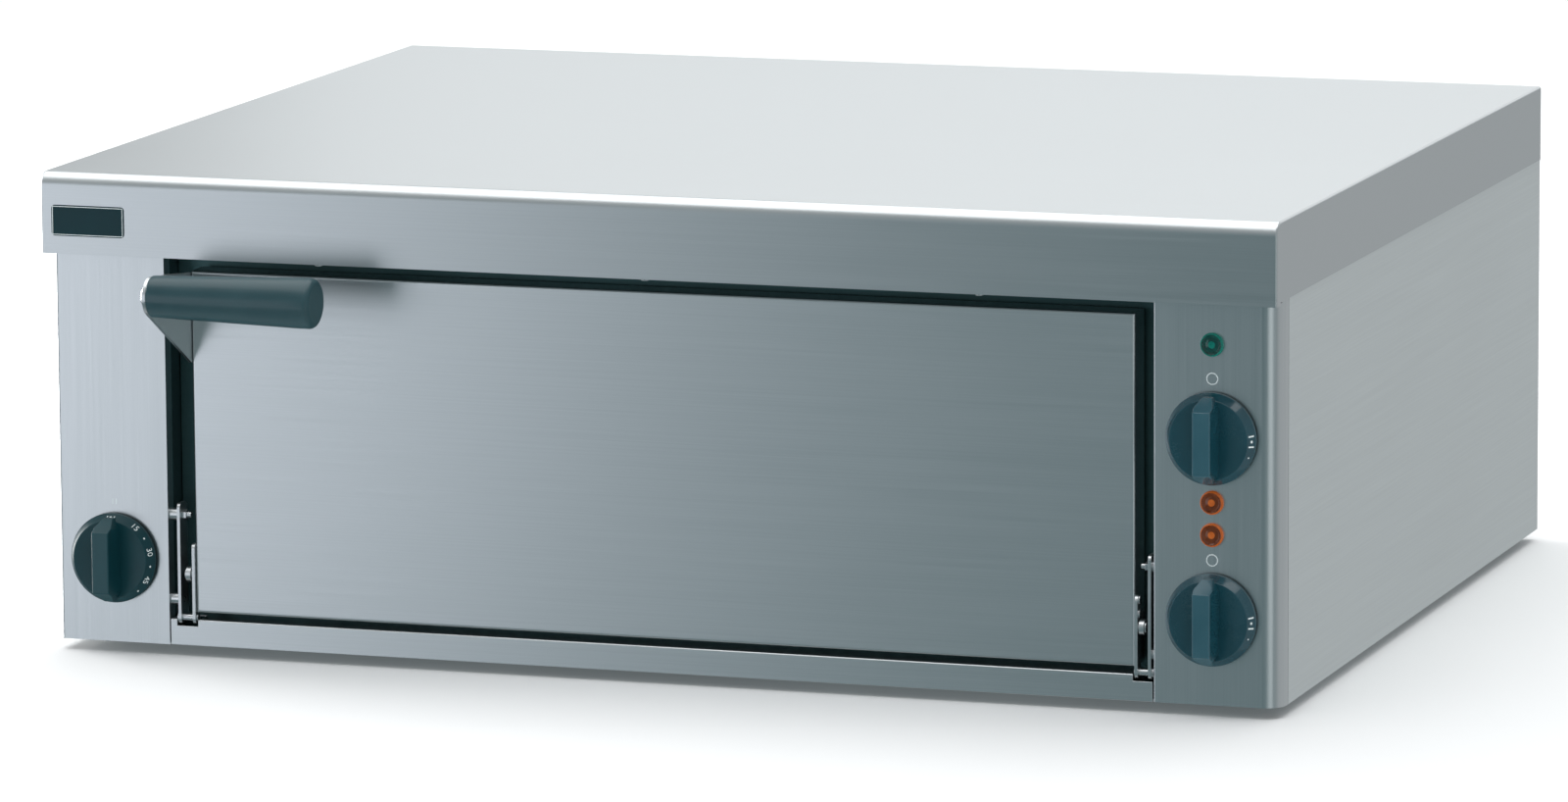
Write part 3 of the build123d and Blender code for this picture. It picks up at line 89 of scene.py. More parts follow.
class Grain(Enum):
    """How a surface is worked, which sets the way its fine pattern is stretched (cycles per metre)."""

    BRUSHED_X = (6.0, 900.0, 900.0)
    BRUSHED_Y = (900.0, 6.0, 900.0)
    BRUSHED_Z = (900.0, 900.0, 6.0)
    ROLLED = (140.0, 140.0, 140.0)
    MOULDED = (1400.0, 1400.0, 1400.0)
    CAST = (420.0, 420.0, 420.0)
    FIBRE_X = (60.0, 700.0, 420.0)
    BRAIDED = (260.0, 260.0, 260.0)


class Pattern(Enum):
    """The kind of texture that carries the fine pattern."""

    NOISE = "noise"
    CELLS = "cells"
    WEAVE = "weave"


@dataclass(frozen=True)
class Finish:
    """One surface finish, with a fine worked pattern over a broad uneven tone.

    The fine pattern drives the relief and part of the shine; the broad tone drives colour and shine together.
    """

    title: str
    light: Colour
    dark: Colour
    metallic: float = 0.0
    smoothest: float = 0.4
    roughest: float = 0.6
    grain: Grain = Grain.ROLLED
    pattern: Pattern = Pattern.NOISE
    relief: float = 0.00002
    relief_strength: float = 0.4
    broad_scale: float = 5.0
    fine_share: float = 0.35
    coat: float = 0.0
    transmission: float = 0.0
    ior: float = 1.45
    sheen: float = 0.0
    glow: float = 0.0

    def material(self) -> bpy.types.Material:
        """Builds the finish once and gives the same material after that.

        Returns:
            The node-based material.
        """
        made = bpy.data.materials.get(self.title)
        if made is not None:
            return made
        made = bpy.data.materials.new(self.title)
        made.use_nodes = True
        tree = made.node_tree
        shader = tree.nodes["Principled BSDF"]
        shader.inputs["Metallic"].default_value = self.metallic
        shader.inputs["Coat Weight"].default_value = self.coat
        shader.inputs["Transmission Weight"].default_value = self.transmission
        shader.inputs["IOR"].default_value = self.ior
        shader.inputs["Sheen Weight"].default_value = self.sheen
        place = tree.nodes.new("ShaderNodeTexCoord")
        fine = self._fine(tree, place)
        broad = self._noise(tree, place, (self.broad_scale,) * 3, 3.0)
        mixed = self._blend(tree, broad, fine, self.fine_share)
        tone = tree.nodes.new("ShaderNodeValToRGB")
        tone.color_ramp.elements[0].position = 0.3
        tone.color_ramp.elements[1].position = 0.7
        tone.color_ramp.elements[0].color = (*self.dark, 1)
        tone.color_ramp.elements[1].color = (*self.light, 1)
        tree.links.new(mixed, tone.inputs["Fac"])
        tree.links.new(tone.outputs["Color"], shader.inputs["Base Color"])
        shine = tree.nodes.new("ShaderNodeMapRange")
        shine.inputs["From Min"].default_value = 0.3
        shine.inputs["From Max"].default_value = 0.7
        shine.inputs["To Min"].default_value = self.smoothest
        shine.inputs["To Max"].default_value = self.roughest
        tree.links.new(mixed, shine.inputs["Value"])
        tree.links.new(shine.outputs["Result"], shader.inputs["Roughness"])
        bump = tree.nodes.new("ShaderNodeBump")
        bump.inputs["Strength"].default_value = self.relief_strength
        bump.inputs["Distance"].default_value = self.relief
        tree.links.new(fine, bump.inputs["Height"])
        tree.links.new(bump.outputs["Normal"], shader.inputs["Normal"])
        if self.glow:
            shader.inputs["Emission Color"].default_value = (*self.light, 1)
            shader.inputs["Emission Strength"].default_value = self.glow
        return made

    def _noise(self, tree: bpy.types.NodeTree, place: bpy.types.Node, scale: Sequence[float],
               detail: float) -> bpy.types.NodeSocket:
        """Adds a noise stretched by a scale in each direction.

        Args:
            tree: The material's nodes.
            place: The coordinates node.
            scale: Cycles per metre along each axis.
            detail: Octaves of the noise.

        Returns:
            The noise's value socket.
        """
        spread = tree.nodes.new("ShaderNodeMapping")
        spread.inputs["Scale"].default_value = scale
        tree.links.new(place.outputs["Object"], spread.inputs["Vector"])
        noise = tree.nodes.new("ShaderNodeTexNoise")
        noise.inputs["Scale"].default_value = 1.0
        noise.inputs["Detail"].default_value = detail
        tree.links.new(spread.outputs["Vector"], noise.inputs["Vector"])
        return noise.outputs["Fac"]

    def _fine(self, tree: bpy.types.NodeTree, place: bpy.types.Node) -> bpy.types.NodeSocket:
        """Adds the fine worked pattern.

        Args:
            tree: The material's nodes.
            place: The coordinates node.

        Returns:
            The pattern's value socket.
        """
        if self.pattern is Pattern.NOISE:
            return self._noise(tree, place, self.grain.value, 2.0)
        spread = tree.nodes.new("ShaderNodeMapping")
        spread.inputs["Scale"].default_value = self.grain.value
        tree.links.new(place.outputs["Object"], spread.inputs["Vector"])
        if self.pattern is Pattern.CELLS:
            cells = tree.nodes.new("ShaderNodeTexVoronoi")
            cells.inputs["Scale"].default_value = 1.0
            tree.links.new(spread.outputs["Vector"], cells.inputs["Vector"])
            return cells.outputs["Distance"]
        wave = tree.nodes.new("ShaderNodeTexWave")
        wave.bands_direction = "DIAGONAL"
        wave.inputs["Scale"].default_value = 1.0
        wave.inputs["Distortion"].default_value = 1.5
        tree.links.new(spread.outputs["Vector"], wave.inputs["Vector"])
        return wave.outputs["Fac"]

    def _blend(self, tree: bpy.types.NodeTree, broad: bpy.types.NodeSocket, fine: bpy.types.NodeSocket,
               share: float) -> bpy.types.NodeSocket:
        """Mixes the broad tone with the fine pattern.

        Args:
            tree: The material's nodes.
            broad: The broad tone.
            fine: The fine pattern.
            share: The fine pattern's share.

        Returns:
            The mixed value socket.
        """
        mix = tree.nodes.new("ShaderNodeMix")
        mix.data_type = "FLOAT"
        mix.inputs["Factor"].default_value = share
        tree.links.new(broad, mix.inputs["A"])
        tree.links.new(fine, mix.inputs["B"])
        return mix.outputs["Result"]


def brushed(title: str, grain: Grain, light: Colour, dark: Colour, smoothest: float = 0.29,
            roughest: float = 0.36) -> Finish:
    """A brushed stainless sheet.

    Args:
        title: The finish's name.
        grain: The direction of the brushing.
        light: The lighter tone.
        dark: The darker tone.
        smoothest: Roughness of the brightest streaks.
        roughest: Roughness of the dullest streaks.

    Returns:
        The finish.
    """
    return Finish(title, light, dark, metallic=1.0, smoothest=smoothest, roughest=roughest, grain=grain,
                  relief=0.00001, relief_strength=0.2, broad_scale=2.2, fine_share=0.7)


def moulded(title: str, light: Colour, dark: Colour, smoothest: float, roughest: float, coat: float = 0.0,
            ior: float = 1.45) -> Finish:
    """A finely moulded dial plastic.

    Args:
        title: The finish's name.
        light: The lighter tone.
        dark: The darker tone.
        smoothest: Roughness where it is glossiest.
        roughest: Roughness where it is dullest.
        coat: The share of clear gloss over it.
        ior: How strongly it mirrors.

    Returns:
        The finish.
    """
    return Finish(title, light, dark, smoothest=smoothest, roughest=roughest, grain=Grain.MOULDED,
                  relief=0.00001, relief_strength=0.2, broad_scale=30.0, coat=coat, ior=ior)


def lamp_glass(title: str, light: Colour, dark: Colour, smoothest: float, roughest: float,
               transmission: float, ior: float, glow: float = 0.0) -> Finish:
    """A tinted lamp lens.

    Args:
        title: The finish's name.
        light: The lighter tone.
        dark: The darker tone.
        smoothest: Roughness where it is clearest.
        roughest: Roughness where it is dullest.
        transmission: The share of light it lets through.
        ior: How strongly it bends light.
        glow: How much light it gives.

    Returns:
        The finish.
    """
    return Finish(title, light, dark, smoothest=smoothest, roughest=roughest, grain=Grain.CAST,
                  relief=0.00004, broad_scale=160.0, coat=0.2, transmission=transmission, ior=ior, glow=glow)


STEEL_LIGHT: Colour = (0.71, 0.74, 0.75)
STEEL_DARK: Colour = (0.66, 0.69, 0.70)

FRONT_STEEL = brushed("stainless_brushed_across", Grain.BRUSHED_X, STEEL_LIGHT, STEEL_DARK)
TOP_STEEL = brushed("stainless_brushed_top", Grain.BRUSHED_X, (0.66, 0.69, 0.70), (0.62, 0.65, 0.66),
                    smoothest=0.30, roughest=0.36)
UPRIGHT_STEEL = brushed("stainless_brushed_upright", Grain.BRUSHED_Z, STEEL_LIGHT, STEEL_DARK)
SIDE_STEEL = brushed("stainless_brushed_side", Grain.BRUSHED_Y, (0.86, 0.90, 0.90), (0.80, 0.84, 0.84),
                     smoothest=0.38, roughest=0.50)
# The inner sheet steel is darkened and tinted teal: painted shade of the gaps round the door.
INNER_STEEL_PAINTED_SHADE = Finish("inner_sheet_steel_gap_painted_shade", (0.22, 0.27, 0.28), (0.15, 0.19, 0.20), metallic=1.0,
                     smoothest=0.32, roughest=0.5, grain=Grain.BRUSHED_X, relief=0.00001, broad_scale=8.0)
# The mouth frame and lintel steel is darkened and tinted teal: painted shade of the gaps round the door.
SHADOWED_STEEL = Finish("frame_steel_gap_painted_shade", (0.125, 0.220, 0.225), (0.080, 0.155, 0.160), metallic=1.0,
                        smoothest=0.42, roughest=0.6, grain=Grain.BRUSHED_X, relief=0.00001, broad_scale=9.0)
CHAMBER_STEEL = Finish("heat_tinted_chamber_steel", (0.42, 0.38, 0.33), (0.28, 0.25, 0.225), metallic=1.0,
                       smoothest=0.34, roughest=0.6, grain=Grain.ROLLED, relief=0.00003, broad_scale=7.0)
FASTENER_STEEL = Finish("plated_fastener_steel", (0.78, 0.80, 0.80), (0.62, 0.64, 0.66), metallic=1.0,
                        smoothest=0.18, roughest=0.34, grain=Grain.CAST, relief=0.00002, broad_scale=60.0)
HINGE_STEEL = Finish("plain_hinge_steel", (0.82, 0.84, 0.85), (0.62, 0.65, 0.66), metallic=1.0,
                     smoothest=0.24, roughest=0.42, grain=Grain.BRUSHED_Z, relief=0.00002, broad_scale=24.0)
ELEMENT_SHEATH = Finish("element_sheath_oxide", (0.11, 0.105, 0.10), (0.05, 0.05, 0.052), metallic=0.75,
                        smoothest=0.45, roughest=0.7, grain=Grain.CAST, relief=0.00006, broad_scale=30.0)
FIRED_STONE = Finish("fired_deck_stone", (0.62, 0.52, 0.39), (0.43, 0.35, 0.26), smoothest=0.8, roughest=0.95,
                     grain=Grain.CAST, pattern=Pattern.CELLS, relief=0.0006, relief_strength=0.6,
                     broad_scale=18.0, fine_share=0.5)
MINERAL_WOOL = Finish("mineral_wool_batt", (0.58, 0.50, 0.33), (0.36, 0.30, 0.18), smoothest=0.9,
                      roughest=1.0, grain=Grain.FIBRE_X, relief=0.0012, relief_strength=0.8,
                      broad_scale=25.0, fine_share=0.6, sheen=0.3)
SEAL_ROPE = Finish("braided_glass_rope", (0.62, 0.60, 0.54), (0.30, 0.29, 0.26), smoothest=0.8, roughest=0.95,
                   grain=Grain.BRAIDED, pattern=Pattern.WEAVE, relief=0.0008, relief_strength=0.8,
                   broad_scale=40.0, fine_share=0.7, sheen=0.25)
CERAMIC = Finish("glazed_ceramic", (0.86, 0.83, 0.76), (0.76, 0.72, 0.64), smoothest=0.2, roughest=0.4,
                 grain=Grain.CAST, relief=0.00003, broad_scale=40.0, coat=0.3)
KNOB_PLASTIC = moulded("slate_moulded_knob", (0.006, 0.066, 0.092), (0.003, 0.050, 0.070), 0.22, 0.30,
                       coat=0.6)
# A lighter copy of the knob plastic for the front faces of the pointer bars: painted light.
KNOB_BAR_PAINTED_LIGHT = moulded("slate_bar_painted_light", (0.034, 0.120, 0.158), (0.020, 0.090, 0.122), 0.20, 0.28,
                           coat=0.6)
TIMER_PLASTIC = moulded("dark_moulded_knob", (0.005, 0.050, 0.062), (0.002, 0.036, 0.046), 0.30, 0.40,
                        ior=1.38)
# A lighter copy of the timer plastic for the front faces of its pointer bar: painted light.
TIMER_BAR_PAINTED_LIGHT = moulded("dark_bar_painted_light", (0.004, 0.060, 0.074), (0.002, 0.044, 0.056), 0.26, 0.34)
GRIP_PLASTIC = Finish("satin_black_grip", (0.024, 0.074, 0.088), (0.014, 0.053, 0.065), smoothest=0.28,
                      roughest=0.42, grain=Grain.MOULDED, relief=0.00003, relief_strength=0.35,
                      broad_scale=22.0, ior=1.5)
BADGE_SLATE = Finish("dark_badge_enamel", (0.004, 0.038, 0.048), (0.002, 0.028, 0.037), smoothest=0.42,
                     roughest=0.56, grain=Grain.MOULDED, relief=0.000008, broad_scale=30.0, ior=1.35)
PALE_PRINT = Finish("pale_printed_ink", (0.90, 0.97, 0.97), (0.80, 0.88, 0.88), smoothest=0.5, roughest=0.65,
                    grain=Grain.MOULDED, relief=0.000005, broad_scale=200.0)
GREEN_GLASS = lamp_glass("green_lamp_glass", (0.0, 0.26, 0.20), (0.0, 0.12, 0.095), 0.10, 0.2,
                         transmission=0.35, ior=1.45, glow=0.16)
AMBER_GLASS = lamp_glass("amber_lamp_glass", (0.62, 0.15, 0.018), (0.40, 0.075, 0.008), 0.10, 0.2,
                         transmission=0.25, ior=1.45, glow=0.18)
# Darker copies of the lens glass, laid on the ring round each lens's hollow: painted shade.
GREEN_GLASS_PAINTED_SHADE = lamp_glass("green_lamp_glass_painted_shade", (0.0, 0.10, 0.085), (0.0, 0.05, 0.043), 0.12, 0.25,
                              transmission=0.3, ior=1.5)
AMBER_GLASS_PAINTED_SHADE = lamp_glass("amber_lamp_glass_painted_shade", (0.20, 0.045, 0.004), (0.11, 0.022, 0.002), 0.12, 0.25,
                              transmission=0.3, ior=1.5, glow=0.05)
FOOT_RUBBER = Finish("black_foot_rubber", (0.030, 0.031, 0.033), (0.015, 0.016, 0.017), smoothest=0.65,
                     roughest=0.85, grain=Grain.MOULDED, relief=0.00005, broad_scale=50.0)
CONTROL_PLASTIC = Finish("control_body_plastic", (0.07, 0.07, 0.075), (0.04, 0.04, 0.043), smoothest=0.4,
                         roughest=0.6, grain=Grain.MOULDED, relief=0.00003, broad_scale=40.0)
GLAND_PLASTIC = Finish("nylon_gland_plastic", (0.045, 0.047, 0.05), (0.024, 0.025, 0.027), smoothest=0.38,
                       roughest=0.5, grain=Grain.MOULDED, relief=0.00003, broad_scale=60.0)
COPPER = Finish("drawn_copper_tube", (0.86, 0.46, 0.30), (0.55, 0.27, 0.17), metallic=1.0, smoothest=0.2,
                roughest=0.42, grain=Grain.CAST, relief=0.00002, broad_scale=50.0)
SPRING_STEEL = Finish("drawn_spring_wire", (0.42, 0.43, 0.45), (0.26, 0.27, 0.29), metallic=1.0,
                      smoothest=0.25, roughest=0.45, grain=Grain.CAST, relief=0.00002, broad_scale=80.0)

SLOT_FINISH: dict[str, Finish] = {
    "brushed_stainless": FRONT_STEEL, "inner_steel": INNER_STEEL_PAINTED_SHADE, "chamber_steel": CHAMBER_STEEL,
    "fastener_steel": FASTENER_STEEL, "hinge_steel": HINGE_STEEL, "element_sheath": ELEMENT_SHEATH,
    "refractory_stone": FIRED_STONE, "mineral_wool": MINERAL_WOOL, "seal_rope": SEAL_ROPE,
    "ceramic_white": CERAMIC, "knob_plastic": KNOB_PLASTIC, "grip_plastic": GRIP_PLASTIC,
    "badge_slate": BADGE_SLATE, "green_lens": GREEN_GLASS, "amber_lens": AMBER_GLASS,
    "foot_rubber": FOOT_RUBBER, "control_plastic": CONTROL_PLASTIC, "gland_plastic": GLAND_PLASTIC,
    "copper_tube": COPPER, "spring_steel": SPRING_STEEL,
}

NODE_FINISH: dict[str, Finish] = {
    "top_hood": TOP_STEEL, "left_side_panel": SIDE_STEEL, "right_side_panel": SIDE_STEEL,
    "left_front_panel": UPRIGHT_STEEL, "right_front_panel": UPRIGHT_STEEL, "timer_knob": TIMER_PLASTIC,
    "mouth_frame": SHADOWED_STEEL, "lintel": SHADOWED_STEEL,
}


class Bench:
    """Modelling moves, made with Blender's own operators on one piece at a time."""

    @staticmethod
    def clear() -> None:
        """Lets go of everything that is selected."""
        bpy.ops.object.select_all(action="DESELECT")

    @staticmethod
    def hold(piece: bpy.types.Object) -> None:
        """Selects one piece alone and makes it the active one."""
        Bench.clear()
        piece.select_set(True)
        bpy.context.view_layer.objects.active = piece

    @staticmethod
    def pick(piece: bpy.types.Object, test: Callable[[Vector, Vector], bool]) -> None:
        """Enters edit mode with the faces that pass a test selected.

        Args:
            piece: The mesh to edit.
            test: Says yes or no from a face's centre and normal.
        """
        Bench.hold(piece)
        bpy.context.tool_settings.mesh_select_mode = (False, False, True)
        mesh = piece.data
        mesh.vertices.foreach_set("select", [False] * len(mesh.vertices))
        mesh.edges.foreach_set("select", [False] * len(mesh.edges))
        mesh.polygons.foreach_set("select", [bool(test(p.center, p.normal)) for p in mesh.polygons])
        bpy.ops.object.mode_set(mode="EDIT")

    @staticmethod
    def pick_edges(piece: bpy.types.Object, test: Callable[[Vector, Vector], bool]) -> None:
        """Enters edit mode with the edges that pass a test selected.

        Args:
            piece: The mesh to edit.
            test: Says yes or no from an edge's two ends.
        """
        Bench.pick(piece, lambda centre, normal: False)
        bpy.ops.mesh.select_mode(type="EDGE")
        bpy.ops.object.mode_set(mode="OBJECT")
        mesh = piece.data
        ends = [[mesh.vertices[v].co for v in edge.vertices] for edge in mesh.edges]
        mesh.edges.foreach_set("select", [bool(test(*pair)) for pair in ends])
        bpy.ops.object.mode_set(mode="EDIT")

    @staticmethod
    def leave() -> None:
        """Goes back to object mode."""
        bpy.ops.object.mode_set(mode="OBJECT")

    @staticmethod
    def raise_by(height: float, scale: float = 1.0) -> None:
        """Extrudes the selected faces along Z and then scales them in their plane.

        Args:
            height: The move along Z, in metres.
            scale: The new size as a share of the old.
        """
        bpy.ops.mesh.extrude_region_move(TRANSFORM_OT_translate={"value": (0, 0, height)})
        if scale != 1.0:
            bpy.ops.transform.resize(value=(scale, scale, 1), center_override=(0, 0, 0))

    @staticmethod
    def turned(name: str, rings: Sequence[tuple[float, float]], sides: int = 64) -> bpy.types.Object:
        """A closed round piece about Z, from its base ring up.

        Args:
            name: The piece's name.
            rings: Radius and height of each ring, in metres, from the base to the top.
            sides: How many sides the round has.

        Returns:
            The piece, standing at the origin along Z.
        """
        (base, low), (first, high), *rest = rings
        Bench.clear()
        bpy.ops.mesh.primitive_cylinder_add(vertices=sides, radius=base, depth=high - low,
                                            location=(0, 0, (high + low) / 2))
        piece = bpy.context.object
        piece.name = name
        bpy.ops.object.transform_apply(location=True, rotation=True, scale=True)
        Bench.pick(piece, lambda centre, normal: normal.z > 0.9)
        bpy.ops.transform.resize(value=(first / base, first / base, 1), center_override=(0, 0, 0))
        radius, height = first, high
        for next_radius, next_height in rest:
            Bench.raise_by(next_height - height, next_radius / radius)
            radius, height = next_radius, next_height
        bpy.ops.mesh.select_all(action="SELECT")
        bpy.ops.mesh.normals_make_consistent(inside=False)
        Bench.leave()
        return piece

    @staticmethod
    def block(name: str, low: Vector, high: Vector) -> bpy.types.Object:
        """A block between two corners, to be worked further.

        Args:
            name: The piece's name.
            low: Its lowest corner.
            high: Its highest corner.

        Returns:
            The block with its place in its mesh.
        """
        Bench.clear()
        bpy.ops.mesh.primitive_cube_add(size=1, location=(low + high) / 2, scale=high - low)
        piece = bpy.context.object
        piece.name = name
        bpy.ops.object.transform_apply(location=True, rotation=True, scale=True)
        return piece

    @staticmethod
    def settle(piece: bpy.types.Object, place: Matrix) -> None:
        """Puts a piece at a place and writes the place into its mesh.

        Args:
            piece: The piece to place.
            place: Its place in the row frame.
        """
        Bench.hold(piece)
        piece.matrix_world = place
        bpy.context.view_layer.update()
        bpy.ops.object.transform_apply(location=True, rotation=True, scale=True)

    @staticmethod
    def apply(piece: bpy.types.Object, kind: str, **values: object) -> None:
        """Adds a modifier with its values and applies it.

        Args:
            piece: The piece to finish.
            kind: The modifier's type.
            values: The modifier's properties by name.
        """
        Bench.hold(piece)
        made = piece.modifiers.new(kind.lower(), kind)
        for key, value in values.items():
            setattr(made, key, value)
        bpy.ops.object.modifier_apply(modifier=made.name)

    @staticmethod
    def smooth(piece: bpy.types.Object, degrees: float = 35.0) -> None:
        """Smooth shading that breaks at edges sharper than an angle."""
        Bench.hold(piece)
        bpy.ops.object.shade_smooth_by_angle(angle=math.radians(degrees))

    @staticmethod
    def round_edges(piece: bpy.types.Object, width: float, segments: int = 2, degrees: float = 35.0) -> None:
        """Rounds edges sharper than an angle and smooths the shading.

        Args:
            piece: The piece to finish.
            width: The round's width, in metres.
            segments: How many facets the round has.
            degrees: Edges sharper than this are rounded.
        """
        Bench.apply(piece, "BEVEL", width=width, segments=segments, limit_method="ANGLE",
                    angle_limit=math.radians(degrees), use_clamp_overlap=True)
        Bench.smooth(piece, degrees)
        Bench.apply(piece, "WEIGHTED_NORMAL", mode="FACE_AREA", weight=100, keep_sharp=True)

    @staticmethod
    def discard(piece: bpy.types.Object) -> None:
        """Throws away a tool that has done its cut."""
        Bench.hold(piece)
        bpy.ops.object.delete()

    @staticmethod
    def joined(name: str, parts: Sequence[bpy.types.Object]) -> bpy.types.Object:
        """Joins pieces into one.

        Args:
            name: The joined piece's name.
            parts: The pieces to join, which all have the same finish.

        Returns:
            The joined piece.
        """
        Bench.clear()
        for part in parts:
            part.select_set(True)
        bpy.context.view_layer.objects.active = parts[0]
        if len(parts) > 1:
            bpy.ops.object.join()
        parts[0].name = name
        return parts[0]

    @staticmethod
    def copy_of(piece: bpy.types.Object, name: str) -> bpy.types.Object:
        """A copy of a piece with a mesh of its own.

        Args:
            piece: The piece to copy.
            name: The copy's name.

        Returns:
            The copy.
        """
        Bench.hold(piece)
        bpy.ops.object.duplicate(linked=False)
        made = bpy.context.object
        made.name = name
        return made

    @staticmethod
    def dress(piece: bpy.types.Object, finish: Finish, body: str, slot: str) -> bpy.types.Object:
        """Gives a finished piece its material and its body, and reports it.

        Args:
            piece: The finished piece.
            finish: Its finish.
            body: The body it moves with.
            slot: Not used.

        Returns:
            The same piece.
        """
        piece.data.materials.clear()
        piece.data.materials.append(finish.material())
        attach(piece, body)
        LOG.info("%s: %d faces, rides on %s, %s", piece.name, len(piece.data.polygons), body, finish.title)
        return piece


def facing(place: Vector) -> Matrix:
    """The place of a fitting on the front: its Z axis points to the front and its Y axis up.

    Args:
        place: The fitting's origin in the row frame.

    Returns:
        The matrix that puts it there.
    """
    return Matrix.Translation(place) @ Matrix.Rotation(math.radians(90), 4, "X")


@dataclass
class PackedParts:
    """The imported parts: their bodies, nodes and slots."""

    parts: dict
    weld_gap: float = 0.002 * MM
    flat_angle: float = math.radians(0.6)

    def body(self, node: str) -> str:
        """The body a node rides on."""
        return self.parts["nodes"][node]["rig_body"]

    def slots(self) -> dict[str, str]:
        """The material slot of each node, from the record."""
        return {part["node"]: part["material_slot"] for part in self.parts["record"]["subparts"]}

    def finish(self, node: str) -> Finish:
        """The finish of a node."""
        return NODE_FINISH.get(node) or SLOT_FINISH[self.slots()[node]]

    def dress_all(self) -> None:
        """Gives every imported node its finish."""
        for node, piece in sorted(self.parts["nodes"].items()):
            made = self.finish(node).material()
            piece.data.materials.clear()
            piece.data.materials.append(made)
            LOG.info("%s wears %s", node, made.name)

    def refined(self, node: str, width: float, degrees: float = 32.0, segments: int = 2) -> bpy.types.Object:
        """A finer copy of a node, merged, with rounded edges, which stands for it.

        Args:
            node: The node to refine.
            width: The width of its edge rounds, in metres.
            degrees: Edges sharper than this are rounded.
            segments: Facets of each round.

        Returns:
            The finer piece.
        """
        piece = self.merged(node)
        if width > 0:
            Bench.round_edges(piece, width, segments, degrees)
        else:
            Bench.smooth(piece, degrees)
        return self.stand_for(piece, node)

    def merged(self, node: str) -> bpy.types.Object:
        """A merged copy of a node's mesh with its flat faces made whole.

        Args:
            node: The node to copy.

        Returns:
            The copy, which rides on nothing yet.
        """
        piece = Bench.copy_of(self.parts["nodes"][node], "fine_" + node)
        for key in [k for k in piece.keys() if k.startswith("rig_")]:
            del piece[key]
        piece.parent = None
        piece.matrix_world = Matrix.Identity(4)
        Bench.pick(piece, lambda centre, normal: True)
        bpy.ops.mesh.remove_doubles(threshold=self.weld_gap)
        bpy.ops.mesh.dissolve_limited(angle_limit=self.flat_angle)
        Bench.leave()
        return piece

    def stand_for(self, piece: bpy.types.Object, node: str) -> bpy.types.Object:
        """Lets a piece stand for a node, with that node's finish and body."""
        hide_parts(node)
        return Bench.dress(piece, self.finish(node), self.body(node), self.slots()[node])


@dataclass
class SheetWork:
    """The folded sheets that show: their folds and cut edges catch the light.

    Two of them also have one softer corner, given as the sheet's node, the axis across the corner (0 is X and
    2 is Z) and the end of that axis (0 is low and 1 is high).
    """

    packed: PackedParts
    edge: float = 0.45 * MM
    soft_corner: float = 1.3 * MM
    near: float = 0.05 * MM
    folded: tuple[str, ...] = ("top_hood", "left_front_panel", "door_outer_panel", "left_side_panel",
                               "right_side_panel", "handle_bracket", "badge_plate", "mouth_frame", "lintel")
    soft_cornered: tuple[tuple[str, int, int], ...] = (("right_front_panel", 0, 0),
                                                       ("bottom_front_rail", 2, 1))

    def softened(self, node: str, axis: int, side: int) -> bpy.types.Object:
        """A folded sheet with one long front corner softer than its other edges.

        Args:
            node: The sheet's node.
            axis: The axis across the corner, 0 for X and 2 for Z.
            side: 0 for the corner at the low end of that axis, 1 for the high end.

        Returns:
            The finished sheet.
        """
        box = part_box(node)
        front, corner = box[0].y, box[side][axis]
        piece = self.packed.merged(node)
        Bench.pick_edges(piece, lambda *ends: all(
            abs(end.y - front) < self.near and abs(end[axis] - corner) < self.near for end in ends))
        bpy.ops.mesh.bevel(offset=self.soft_corner, segments=2, affect="EDGES")
        Bench.leave()
        Bench.round_edges(piece, self.edge)
        return self.packed.stand_for(piece, node)

    def build(self) -> list[bpy.types.Object]:
        """Makes each folded sheet with fine rounded edges."""
        return ([self.packed.refined(node, self.edge) for node in self.folded]
                + [self.softened(*corner) for corner in self.soft_cornered])


